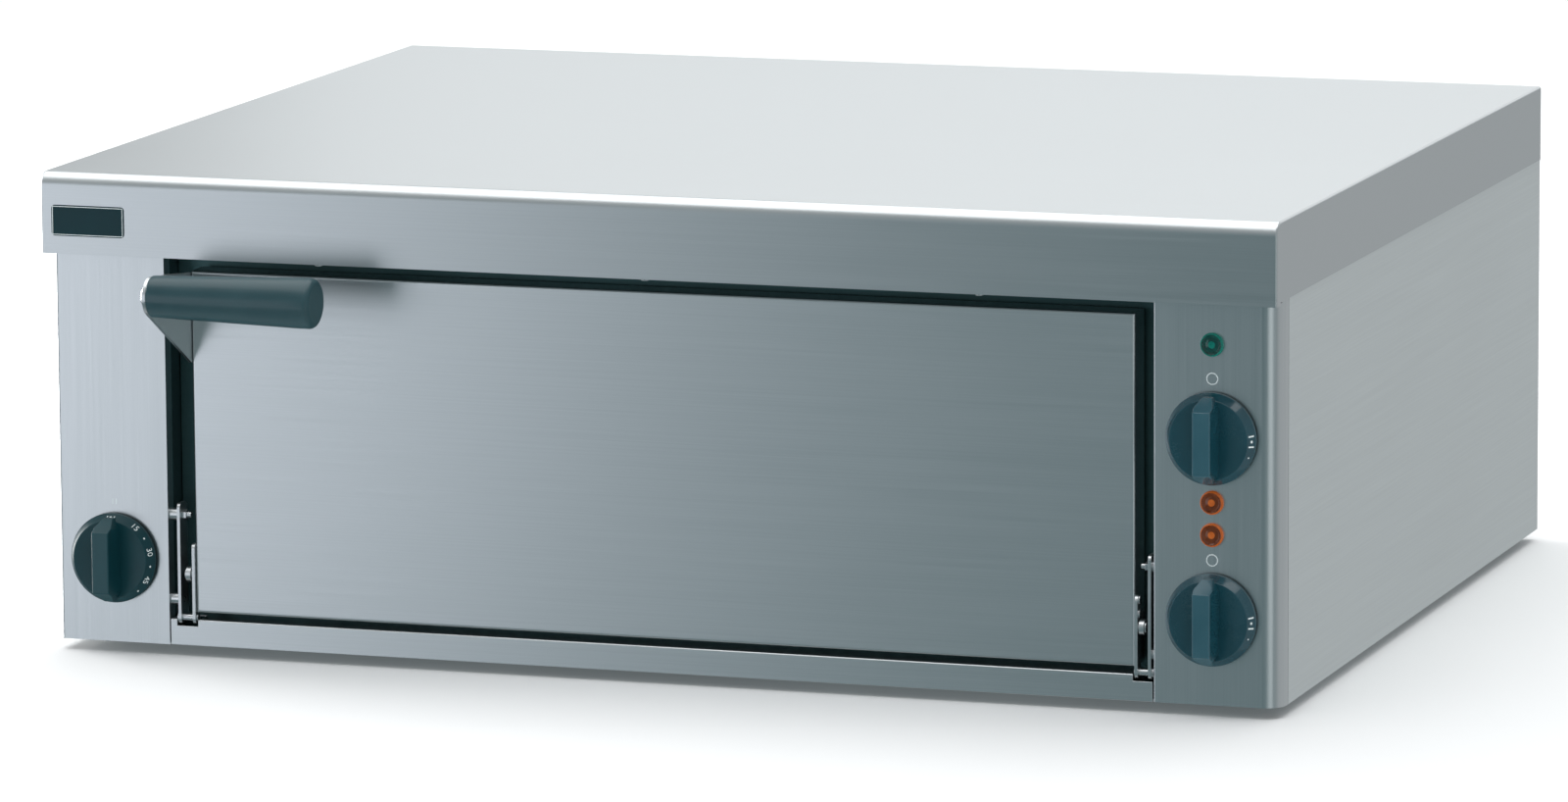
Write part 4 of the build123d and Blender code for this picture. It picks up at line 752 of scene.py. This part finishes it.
@dataclass
class Screws:
    """Screws that show their heads, each with a cross recess."""

    packed: PackedParts
    recess: float = 1.5 * MM
    slot_width: float = 0.75 * MM
    slot_span: float = 3.6 * MM

    @staticmethod
    def heads(piece: bpy.types.Object) -> list[tuple[Vector, Vector]]:
        """The box of each separate solid in a merged mesh.

        Args:
            piece: The merged mesh.

        Returns:
            Lowest and highest corner of each solid.
        """
        mesh = piece.data
        owner = list(range(len(mesh.vertices)))

        def root(index: int) -> int:
            """The first vertex of an index's group."""
            while owner[index] != index:
                owner[index] = owner[owner[index]]
                index = owner[index]
            return index

        for edge in mesh.edges:
            first, second = (root(v) for v in edge.vertices)
            owner[max(first, second)] = min(first, second)
        boxes: dict[int, tuple[Vector, Vector]] = {}
        for vertex in mesh.vertices:
            low, high = boxes.get(root(vertex.index), (vertex.co, vertex.co))
            boxes[root(vertex.index)] = (Vector(map(min, low, vertex.co)), Vector(map(max, high, vertex.co)))
        return list(boxes.values())

    def cutter(self, face: Vector, outward: Vector) -> bpy.types.Object:
        """A cross-shaped cutter sunk into a head.

        Args:
            face: The middle of the head's outer face.
            outward: The way the head faces.

        Returns:
            The cutter.
        """
        bars = []
        for span, width in ((self.slot_span, self.slot_width), (self.slot_width, self.slot_span)):
            half = Vector((span / 2, width / 2, self.recess))
            bar = Bench.block("recess", -half, half)
            Bench.pick(bar, lambda _, normal: normal.z < -0.9)
            bpy.ops.transform.resize(value=(0.6, 0.6, 1), center_override=(0, 0, 0))
            Bench.leave()
            Bench.settle(bar, Matrix.Translation(face) @ outward.to_track_quat("Z", "Y").to_matrix().to_4x4())
            bars.append(bar)
        Bench.apply(bars[0], "BOOLEAN", operation="UNION", object=bars[1], solver="EXACT")
        Bench.discard(bars[1])
        return bars[0]

    def build(self, node: str, outward: Vector) -> bpy.types.Object:
        """Cuts a cross recess in every head of a node that faces one way.

        Args:
            node: The screws' node.
            outward: The way their heads face.

        Returns:
            The recessed screws.
        """
        piece = self.packed.merged(node)
        for low, high in self.heads(piece):
            middle = (low + high) / 2
            reach = Vector([(high - low)[axis] / 2 * outward[axis] for axis in range(3)])
            cutter = self.cutter(middle + reach, outward)
            Bench.apply(piece, "BOOLEAN", operation="DIFFERENCE", object=cutter, solver="EXACT")
            Bench.discard(cutter)
        Bench.smooth(piece, 40)
        return self.packed.stand_for(piece, node)


@dataclass
class Dial:
    """A round dial with a pointer bar and marks printed on its sloped skirt."""

    packed: PackedParts
    node: str
    body: str
    edge: float = 0.35 * MM
    round_angle: float = 25.0
    skirt_radius: float = 33.4 * MM
    skirt_slope: float = math.radians(55.6)
    skirt_rise: float = 6.5 * MM
    numeral_height: float = 7.0 * MM
    # The lighter plastic laid on the bar's front faces as painted light.
    bar_finish: Finish = KNOB_BAR_PAINTED_LIGHT
    bar_rise: float = 16.0 * MM
    bar_facing: float = -0.3
    print_lift: float = 0.04 * MM
    ink: float = 0.03 * MM

    def build(self) -> bpy.types.Object:
        """Makes the dial from its node with fine edges, and lays a lighter copy of the plastic on its bar's
        front faces as painted light.
        """
        piece = self.packed.refined(self.node, self.edge, self.round_angle, 3)
        piece.data.materials.append(self.bar_finish.material())
        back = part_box(self.node)[1].y
        # Faces at the bar's front that face the front take the lighter copy: painted light on the bar.
        for face in piece.data.polygons:
            outer = face.center.y < back - self.bar_rise
            face.material_index = 1 if outer and face.normal.y < self.bar_facing else 0
        return piece

    def skirt_place(self, degrees: float) -> Matrix:
        """A place just above the sloped skirt, facing out.

        Args:
            degrees: Clockwise from the top, seen from the front.

        Returns:
            The place, with X along the rim and Y towards it.
        """
        low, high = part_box(self.node)
        centre = Vector(((low.x + high.x) / 2, high.y, (low.z + high.z) / 2))
        angle = math.radians(degrees)
        front = Vector((0, -1, 0))
        outward = Vector((math.sin(angle), 0, math.cos(angle)))
        along = Vector((math.cos(angle), 0, -math.sin(angle)))
        normal = outward * math.sin(self.skirt_slope) + front * math.cos(self.skirt_slope)
        upward = outward * math.cos(self.skirt_slope) - front * math.sin(self.skirt_slope)
        origin = centre + outward * self.skirt_radius + front * self.skirt_rise + normal * self.print_lift
        turn = Matrix((along, upward, normal)).transposed().to_4x4()
        return Matrix.Translation(origin) @ turn

    def numeral(self, text: str, degrees: float) -> bpy.types.Object:
        """A numeral printed on the skirt.

        Args:
            text: The figures.
            degrees: Its place round the skirt.

        Returns:
            The numeral as a thin mesh.
        """
        Bench.clear()
        bpy.ops.object.text_add(location=(0, 0, 0))
        word = bpy.context.object
        word.data.body = text
        word.data.size = self.numeral_height
        word.data.align_x = "CENTER"
        word.data.align_y = "CENTER"
        word.data.extrude = self.ink
        word.data.resolution_u = 3
        bpy.ops.object.convert(target="MESH")
        Bench.settle(word, self.skirt_place(degrees))
        return word

    def stroke(self, degrees: float, length: float, width: float) -> bpy.types.Object:
        """A printed stroke on the skirt, pointing to the rim.

        Args:
            degrees: Its place round the skirt.
            length: Its length towards the rim.
            width: Its width along the rim.

        Returns:
            The stroke.
        """
        half = Vector((width / 2, length / 2, self.ink))
        mark = Bench.block("stroke", -half, half)
        Bench.pick(mark, lambda centre, normal: normal.z > 0.9)
        bpy.ops.transform.resize(value=(0.8, 0.9, 1))
        Bench.leave()
        Bench.settle(mark, self.skirt_place(degrees))
        return mark

    def dot(self, degrees: float, radius: float) -> bpy.types.Object:
        """A printed dot on the skirt.

        Args:
            degrees: Its place round the skirt.
            radius: Its radius.

        Returns:
            The dot.
        """
        rings = [(radius, -self.ink), (radius, 0.02 * MM), (radius * 0.8, 0.04 * MM)]
        mark = Bench.turned("dot", rings, 16)
        Bench.settle(mark, self.skirt_place(degrees))
        return mark


@dataclass
class TimerDial(Dial):
    """The timer's dial, with minutes round part of its skirt."""

    minutes: tuple[int, ...] = (15, 30, 45)
    first: float = 38.0
    step: float = 40.0
    zero_dot: float = 1.1 * MM
    zero_spread: float = 5.0
    zero_length: float = 3.0 * MM
    zero_width: float = 0.9 * MM
    half_step_dot: float = 0.8 * MM

    def marks(self) -> bpy.types.Object:
        """Makes the printed scale of the timer."""
        parts = [self.dot(0.0, self.zero_dot)]
        for at in (-self.zero_spread, self.zero_spread):
            parts.append(self.stroke(at, self.zero_length, self.zero_width))
        for place, minute in enumerate(self.minutes):
            at = self.first + place * self.step
            parts.append(self.numeral(str(minute), at))
            parts.append(self.dot(at + self.step / 2, self.half_step_dot))
        return Bench.dress(Bench.joined("timer_scale", parts), PALE_PRINT, self.body, "knob_plastic")


@dataclass
class HeatDial(Dial):
    """A heat dial, with a dot between two strokes on its skirt and a smaller dot below them."""

    stroke_spread: float = 7.0
    stroke_length: float = 5.4 * MM
    stroke_width: float = 1.2 * MM
    dots: tuple[tuple[float, float], ...] = ((90.0, 1.1 * MM), (112.0, 0.6 * MM))

    def marks(self) -> bpy.types.Object:
        """Makes the printed marks of the heat dial."""
        middle = self.dots[0][0]
        parts = [self.stroke(at, self.stroke_length, self.stroke_width)
                 for at in (middle - self.stroke_spread, middle + self.stroke_spread)]
        parts += [self.dot(at, radius) for at, radius in self.dots]
        return Bench.dress(Bench.joined(self.body + "_marks", parts), PALE_PRINT, self.body, "knob_plastic")


@dataclass
class Lamp:
    """A round lamp: a raised rim round a sunk and slightly domed lens, with painted shade as a darker ring
    between the rim and the lens's middle.

    Its rings are shares of its radius and of how far it stands out, from the panel to the middle of the lens.
    """

    node: str
    name: str
    finish: Finish
    # The darker copy of the glass, laid on the ring round the hollow as painted shade.
    deep: Finish
    slot: str
    rings: tuple[tuple[float, float], ...] = (
        (1.0, 0.0), (1.0, 0.45), (0.97, 0.72), (0.92, 0.93), (0.86, 1.0), (0.78, 0.93), (0.72, 0.66),
        (0.66, 0.52), (0.5, 0.62), (0.3, 0.72), (0.12, 0.76))
    deep_from: float = 0.30
    deep_to: float = 0.84

    def build(self, centres: Sequence[Vector], radius: float, depth: float) -> bpy.types.Object:
        """Makes the lenses of one colour and puts them in place of their node.

        Args:
            centres: Each lens's centre on the panel's face.
            radius: The lens's radius.
            depth: How far it stands out.

        Returns:
            The lenses as one piece.
        """
        rings = [(radius * across, depth * out) for across, out in self.rings]
        pattern = Bench.turned(self.name, rings, 48)
        Bench.smooth(pattern, 60)
        pattern.data.materials.append(self.finish.material())
        pattern.data.materials.append(self.deep.material())
        # Outward faces in the ring between the rim and the middle take the darker copy: painted shade.
        for face in pattern.data.polygons:
            reach = Vector((face.center.x, face.center.y)).length / radius
            in_hollow_shade = face.normal.z > 0.2 and self.deep_from < reach < self.deep_to
            face.material_index = 1 if in_hollow_shade else 0
        lenses = [pattern] + [Bench.copy_of(pattern, self.name) for _ in centres[1:]]
        for lens, centre in zip(lenses, centres):
            Bench.settle(lens, facing(centre))
        piece = Bench.joined(self.name, lenses)
        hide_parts(self.node)
        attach(piece, "chassis")
        LOG.info("%s: %d faces, %s and %s", piece.name, len(piece.data.polygons), self.finish.title,
                 self.deep.title)
        return piece


PILOT_LAMPS = (
    (Lamp("green_lamp", "green_lens", GREEN_GLASS, GREEN_GLASS_PAINTED_SHADE, "green_lens"), 1),
    (Lamp("amber_lamps", "amber_lenses", AMBER_GLASS, AMBER_GLASS_PAINTED_SHADE, "amber_lens"), 2),
)


@dataclass
class Printing:
    """Marks printed on the control panels, and the badge's border."""

    ring: float = 4.7 * MM
    stroke: float = 0.7 * MM
    ink: float = 0.05 * MM
    ring_rise: float = 9.8 * MM
    index_rise: float = 9.0 * MM
    index_spread: float = 1.5 * MM
    index_width: float = 0.7 * MM
    index_height: float = 4.5 * MM
    border_inset: float = 0.9 * MM
    border_width: float = 0.5 * MM
    border_height: float = 0.06 * MM

    def ring_mark(self, x: float, y: float, z: float) -> bpy.types.Object:
        """A thin printed ring on the panel.

        Args:
            x: Its centre across.
            y: The panel's face.
            z: Its centre's height.

        Returns:
            The ring.
        """
        Bench.clear()
        bpy.ops.mesh.primitive_circle_add(vertices=40, radius=self.ring, fill_type="NGON")
        mark = bpy.context.object
        Bench.pick(mark, lambda centre, normal: True)
        bpy.ops.mesh.inset(thickness=self.stroke, depth=0)
        bpy.ops.mesh.delete(type="FACE")
        Bench.leave()
        Bench.apply(mark, "SOLIDIFY", thickness=self.ink, offset=1.0)
        Bench.settle(mark, facing(Vector((x, y, z))))
        return mark

    def index_bar(self, x: float, y: float, z: float) -> bpy.types.Object:
        """A short printed bar on the panel.

        Args:
            x: Its centre across.
            y: The panel's face.
            z: Its centre's height.

        Returns:
            The bar.
        """
        half = Vector((self.index_width / 2, self.ink / 2, self.index_height / 2))
        centre = Vector((x, y - self.ink / 2, z))
        mark = Bench.block("bar", centre - half, centre + half)
        Bench.pick(mark, lambda _, normal: normal.y < -0.9)
        bpy.ops.transform.resize(value=(0.9, 1, 0.9), center_override=centre)
        Bench.leave()
        return mark

    def build(self) -> bpy.types.Object:
        """Prints the rings above the heat dials and the index above the timer."""
        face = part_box("right_front_panel")[0].y
        parts = []
        for knob in ("upper_heat_knob", "lower_heat_knob"):
            low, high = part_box(knob)
            parts.append(self.ring_mark((low.x + high.x) / 2, face, high.z + self.ring_rise))
        low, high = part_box("timer_knob")
        middle = (low.x + high.x) / 2
        parts += [self.index_bar(middle + shift, face, high.z + self.index_rise)
                  for shift in (-self.index_spread, self.index_spread)]
        return Bench.dress(Bench.joined("panel_print", parts), PALE_PRINT, "chassis", "knob_plastic")

    def badge_border(self) -> bpy.types.Object:
        """A thin pale border raised on the blank badge."""
        low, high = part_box("badge_plate")
        half = Vector(((high.x - low.x) / 2 - self.border_inset, self.border_height,
                       (high.z - low.z) / 2 - self.border_inset))
        centre = Vector(((low.x + high.x) / 2, low.y, (low.z + high.z) / 2))
        piece = Bench.block("badge_border", centre - half, centre + half)
        Bench.pick(piece, lambda _, normal: abs(normal.y) > 0.9)
        bpy.ops.mesh.inset(thickness=self.border_width, depth=0)
        bpy.ops.mesh.bridge_edge_loops()
        Bench.leave()
        return Bench.dress(piece, PALE_PRINT, "chassis", "badge_slate")


@dataclass
class StaySprings:
    """The two coiled springs, one round each stay rod, which close as the door opens; here they keep their
    length.
    """

    packed: PackedParts
    wire: float = 1.05 * MM
    coils: int = 16
    sides: int = 10
    steps: int = 20
    keep: float = 0.45

    def coil(self, name: str, centre: Vector, length: float, radius: float) -> bpy.types.Object:
        """One coiled spring along Y.

        Args:
            name: The spring's name.
            centre: The middle of its front end.
            length: Its length.
            radius: Its outer radius.

        Returns:
            The spring.
        """
        Bench.clear()
        bpy.ops.mesh.primitive_circle_add(vertices=self.sides, radius=self.wire, fill_type="NOTHING",
                                          location=(radius - self.wire, 0, 0), rotation=(math.pi / 2, 0, 0))
        spring = bpy.context.object
        spring.name = name
        bpy.ops.object.transform_apply(location=True, rotation=True, scale=True)
        pitch = (length - 2 * self.wire) / self.coils
        Bench.apply(spring, "SCREW", axis="Z", angle=FULL_TURN, screw_offset=pitch, iterations=self.coils,
                    steps=self.steps, render_steps=self.steps, use_merge_vertices=False)
        Bench.pick(spring, lambda _, __: True)
        bpy.ops.mesh.select_mode(type="EDGE")
        bpy.ops.mesh.select_non_manifold()
        bpy.ops.mesh.fill_holes(sides=self.sides)
        bpy.ops.mesh.select_all(action="SELECT")
        bpy.ops.mesh.normals_make_consistent(inside=False)
        Bench.leave()
        turn = Matrix.Rotation(-math.pi / 2, 4, "X")
        Bench.settle(spring, Matrix.Translation(centre + Vector((0, self.wire, 0))) @ turn)
        Bench.smooth(spring, 60)
        return spring

    def build(self) -> list[bpy.types.Object]:
        """Coils a spring round each rod; it swings with the rod and keeps its length."""
        low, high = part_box("stay_springs")
        radius = (high.z - low.z) / 2
        middle = (low.z + high.z) / 2
        springs = []
        for side, x in (("left", low.x + radius), ("right", high.x - radius)):
            piece = self.coil(side + "_stay_spring", Vector((x, low.y, middle)), high.y - low.y, radius)
            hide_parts("stay_springs")
            Bench.dress(piece, SPRING_STEEL, self.packed.body(side + "_stay_rod"), "spring_steel")
            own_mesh(piece)
            springs.append(piece)
        return springs


@dataclass
class SmallFittings:
    """The grip and the small fittings: some are only smoothed, the others also get fine edges."""

    packed: PackedParts
    edge: float = 0.25 * MM
    angle: float = 40.0
    grip_angle: float = 50.0
    smoothed: tuple[str, ...] = ("upper_element", "lower_element", "door_seal", "upper_heat_spindle",
                                 "lower_heat_spindle", "timer_spindle", "thermostat_capillaries",
                                 "element_terminals", "hood_screws", "door_side_screws")
    edged: tuple[str, ...] = ("feet", "hinge_plates", "hinge_pins", "hinge_bolts", "door_arms", "handle_bolt",
                              "left_stay_rod", "right_stay_rod", "stay_guides", "cable_gland")

    def build(self) -> None:
        """Makes the grip, the recessed screws at the rear and the other fittings."""
        self.packed.refined("handle_grip", 0.0, self.grip_angle)
        Screws(self.packed).build("rear_screws", Vector((0, 1, 0)))
        for node in self.smoothed:
            self.packed.refined(node, 0.0, self.angle)
        for node in self.edged:
            self.packed.refined(node, self.edge, self.angle)


@dataclass
class SoftBox:
    """A large soft lamp of even brightness."""

    name: str
    place: Vector
    aim: Vector
    width: float
    height: float
    radiance: float
    tint: Colour = (1.0, 1.0, 1.0)

    def build(self) -> bpy.types.Object:
        """Hangs the lamp and points it."""
        lamp = bpy.data.lights.new(self.name, "AREA")
        lamp.shape = "RECTANGLE"
        lamp.size = self.width
        lamp.size_y = self.height
        lamp.energy = self.radiance * math.pi * self.width * self.height
        lamp.color = self.tint
        made = bpy.data.objects.new(self.name, lamp)
        bpy.context.scene.collection.objects.link(made)
        made.location = self.place
        made.rotation_euler = (self.aim - self.place).to_track_quat("-Z", "Y").to_euler()
        return made


SOFT_LAMPS = (
    SoftBox("overhead_softbox", Vector((-0.3, 0.4, 4.0)), Vector((0, 0, 0.2)), 6.0, 6.0, 1.55),
    SoftBox("rear_softbox", Vector((0.82, 6.5, 2.3)), Vector((0, 0, 0.6)), 8.6, 3.2, 0.60),
    SoftBox("left_softbox", Vector((-2.0, -2.9, 0.12)), Vector((-0.45, -0.37, 0.25)), 1.7, 1.9, 1.05,
            tint=(0.965, 0.950, 1.03)),
    SoftBox("left_strip", Vector((-4.4, 1.0, 0.6)), Vector((0, -0.38, 0.2)), 2.4, 3.0, 9.0),
    SoftBox("right_softbox", Vector((3.3, -4.0, 0.2)), Vector((0.49, -0.36, 0.2)), 2.2, 3.0, 0.62),
)


@dataclass
class Studio:
    """The pale floor, the soft lamps, the room round them and the camera.

    The room goes from its dim front tone to its lighter rear tone between two limits of the looking
    direction, once from front to back and once from level to up. The camera's place is told from the hood's
    left front top corner, and its turns are in radians.
    """

    front_room: Colour = (0.138, 0.196, 0.208)
    rear_room: Colour = (0.43, 0.45, 0.46)
    room_limits: tuple[tuple[str, float, float], ...] = (("Y", -0.6, -0.05), ("Z", 0.08, 0.55))
    floor_tone: Colour = (1.0, 1.0, 1.0)
    floor_glow: float = 0.06
    floor_size: float = 40.0
    floor_centre: tuple[float, float, float] = (0.0, 6.0, 0.0)
    camera_offset: tuple[float, float, float] = (2.856482, -6.639558, 1.011858)
    camera_pan: float = 0.3253
    camera_tilt: float = -0.16487
    camera_roll: float = 0.00665
    focal_length: float = 212.091
    film_width: float = 36.0

    def build(self) -> None:
        """Sets up floor, lamps, surroundings and camera."""
        self.floor()
        self.surroundings()
        for lamp in SOFT_LAMPS:
            lamp.build()
        self.camera()
        view = bpy.context.scene.view_settings
        view.view_transform = "Standard"
        view.look = "None"

    def floor(self) -> None:
        """Lays a plain pale floor under the feet."""
        Bench.clear()
        bpy.ops.mesh.primitive_plane_add(size=self.floor_size, location=self.floor_centre)
        floor = bpy.context.object
        floor.name = "pale_floor"
        floor.visible_glossy = False
        made = bpy.data.materials.new("pale_floor_paper")
        made.use_nodes = True
        shader = made.node_tree.nodes["Principled BSDF"]
        shader.inputs["Base Color"].default_value = (*self.floor_tone, 1)
        shader.inputs["Roughness"].default_value = 0.9
        shader.inputs["Specular IOR Level"].default_value = 0.1
        shader.inputs["Emission Color"].default_value = (1, 1, 1, 1)
        shader.inputs["Emission Strength"].default_value = self.floor_glow
        floor.data.materials.append(made)

    def surroundings(self) -> None:
        """Fills the room with soft light, dim in front of the oven and lighter round the rest."""
        world = bpy.data.worlds.new("studio_room")
        bpy.context.scene.world = world
        world.use_nodes = True
        tree = world.node_tree
        place = tree.nodes.new("ShaderNodeTexCoord")
        split = tree.nodes.new("ShaderNodeSeparateXYZ")
        tree.links.new(place.outputs["Generated"], split.inputs["Vector"])
        rise = tree.nodes.new("ShaderNodeMath")
        rise.operation = "MAXIMUM"
        for entry, (way, first, last) in enumerate(self.room_limits):
            spread = tree.nodes.new("ShaderNodeMapRange")
            spread.inputs["From Min"].default_value = first
            spread.inputs["From Max"].default_value = last
            tree.links.new(split.outputs[way], spread.inputs["Value"])
            tree.links.new(spread.outputs["Result"], rise.inputs[entry])
        tone = tree.nodes.new("ShaderNodeValToRGB")
        tone.color_ramp.elements[0].color = (*self.front_room, 1)
        tone.color_ramp.elements[1].color = (*self.rear_room, 1)
        tree.links.new(rise.outputs["Value"], tone.inputs["Fac"])
        tree.links.new(tone.outputs["Color"], tree.nodes["Background"].inputs["Color"])

    def camera(self) -> None:
        """Stands the camera in front, to the right and a little above."""
        low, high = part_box("top_hood")
        corner = Vector((low.x, low.y, high.z))
        lens = bpy.data.cameras.new("camera")
        lens.sensor_width = self.film_width
        lens.lens = self.focal_length
        lens.clip_end = 100.0
        made = bpy.data.objects.new("camera", lens)
        bpy.context.scene.collection.objects.link(made)
        turn = (Matrix.Rotation(self.camera_pan, 4, "Z") @ Matrix.Rotation(self.camera_tilt, 4, "X")
                @ Matrix.Rotation(self.camera_roll, 4, "Y") @ Matrix.Rotation(math.pi / 2, 4, "X"))
        made.matrix_world = Matrix.Translation(corner + Vector(self.camera_offset)) @ turn
        bpy.context.scene.camera = made


def lamp_centres(node: str, count: int) -> tuple[list[Vector], float, float]:
    """Where the lenses of a node sit on the panel.

    Args:
        node: The lens node.
        count: How many lenses it has, one above the other.

    Returns:
        The centres on the panel's face, the radius and the depth.
    """
    low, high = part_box(node)
    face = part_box("right_front_panel")[0].y
    radius = (high.x - low.x) / 2
    middle = (low.x + high.x) / 2
    bottom, top = low.z + radius, high.z - radius
    rises = [bottom + (top - bottom) * k / max(count - 1, 1) for k in range(count)]
    return [Vector((middle, face, z)) for z in rises], radius, face - low.y


def main() -> None:
    """Sets up the studio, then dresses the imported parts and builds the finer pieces."""
    logging.basicConfig(level=logging.INFO, format="%(name)s: %(message)s")
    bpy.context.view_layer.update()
    packed = PackedParts(frame)
    Studio().build()
    packed.dress_all()
    SheetWork(packed).build()
    timer = TimerDial(packed, "timer_knob", "timer_dial", bar_finish=TIMER_BAR_PAINTED_LIGHT)
    timer.build()
    timer.marks()
    for node, body in (("upper_heat_knob", "upper_heat_dial"), ("lower_heat_knob", "lower_heat_dial")):
        dial = HeatDial(packed, node, body)
        dial.build()
        dial.marks()
    for lamp, count in PILOT_LAMPS:
        lamp.build(*lamp_centres(lamp.node, count))
    printing = Printing()
    printing.build()
    printing.badge_border()
    StaySprings(packed).build()
    SmallFittings(packed).build()


if __name__ == "__main__":
    main()
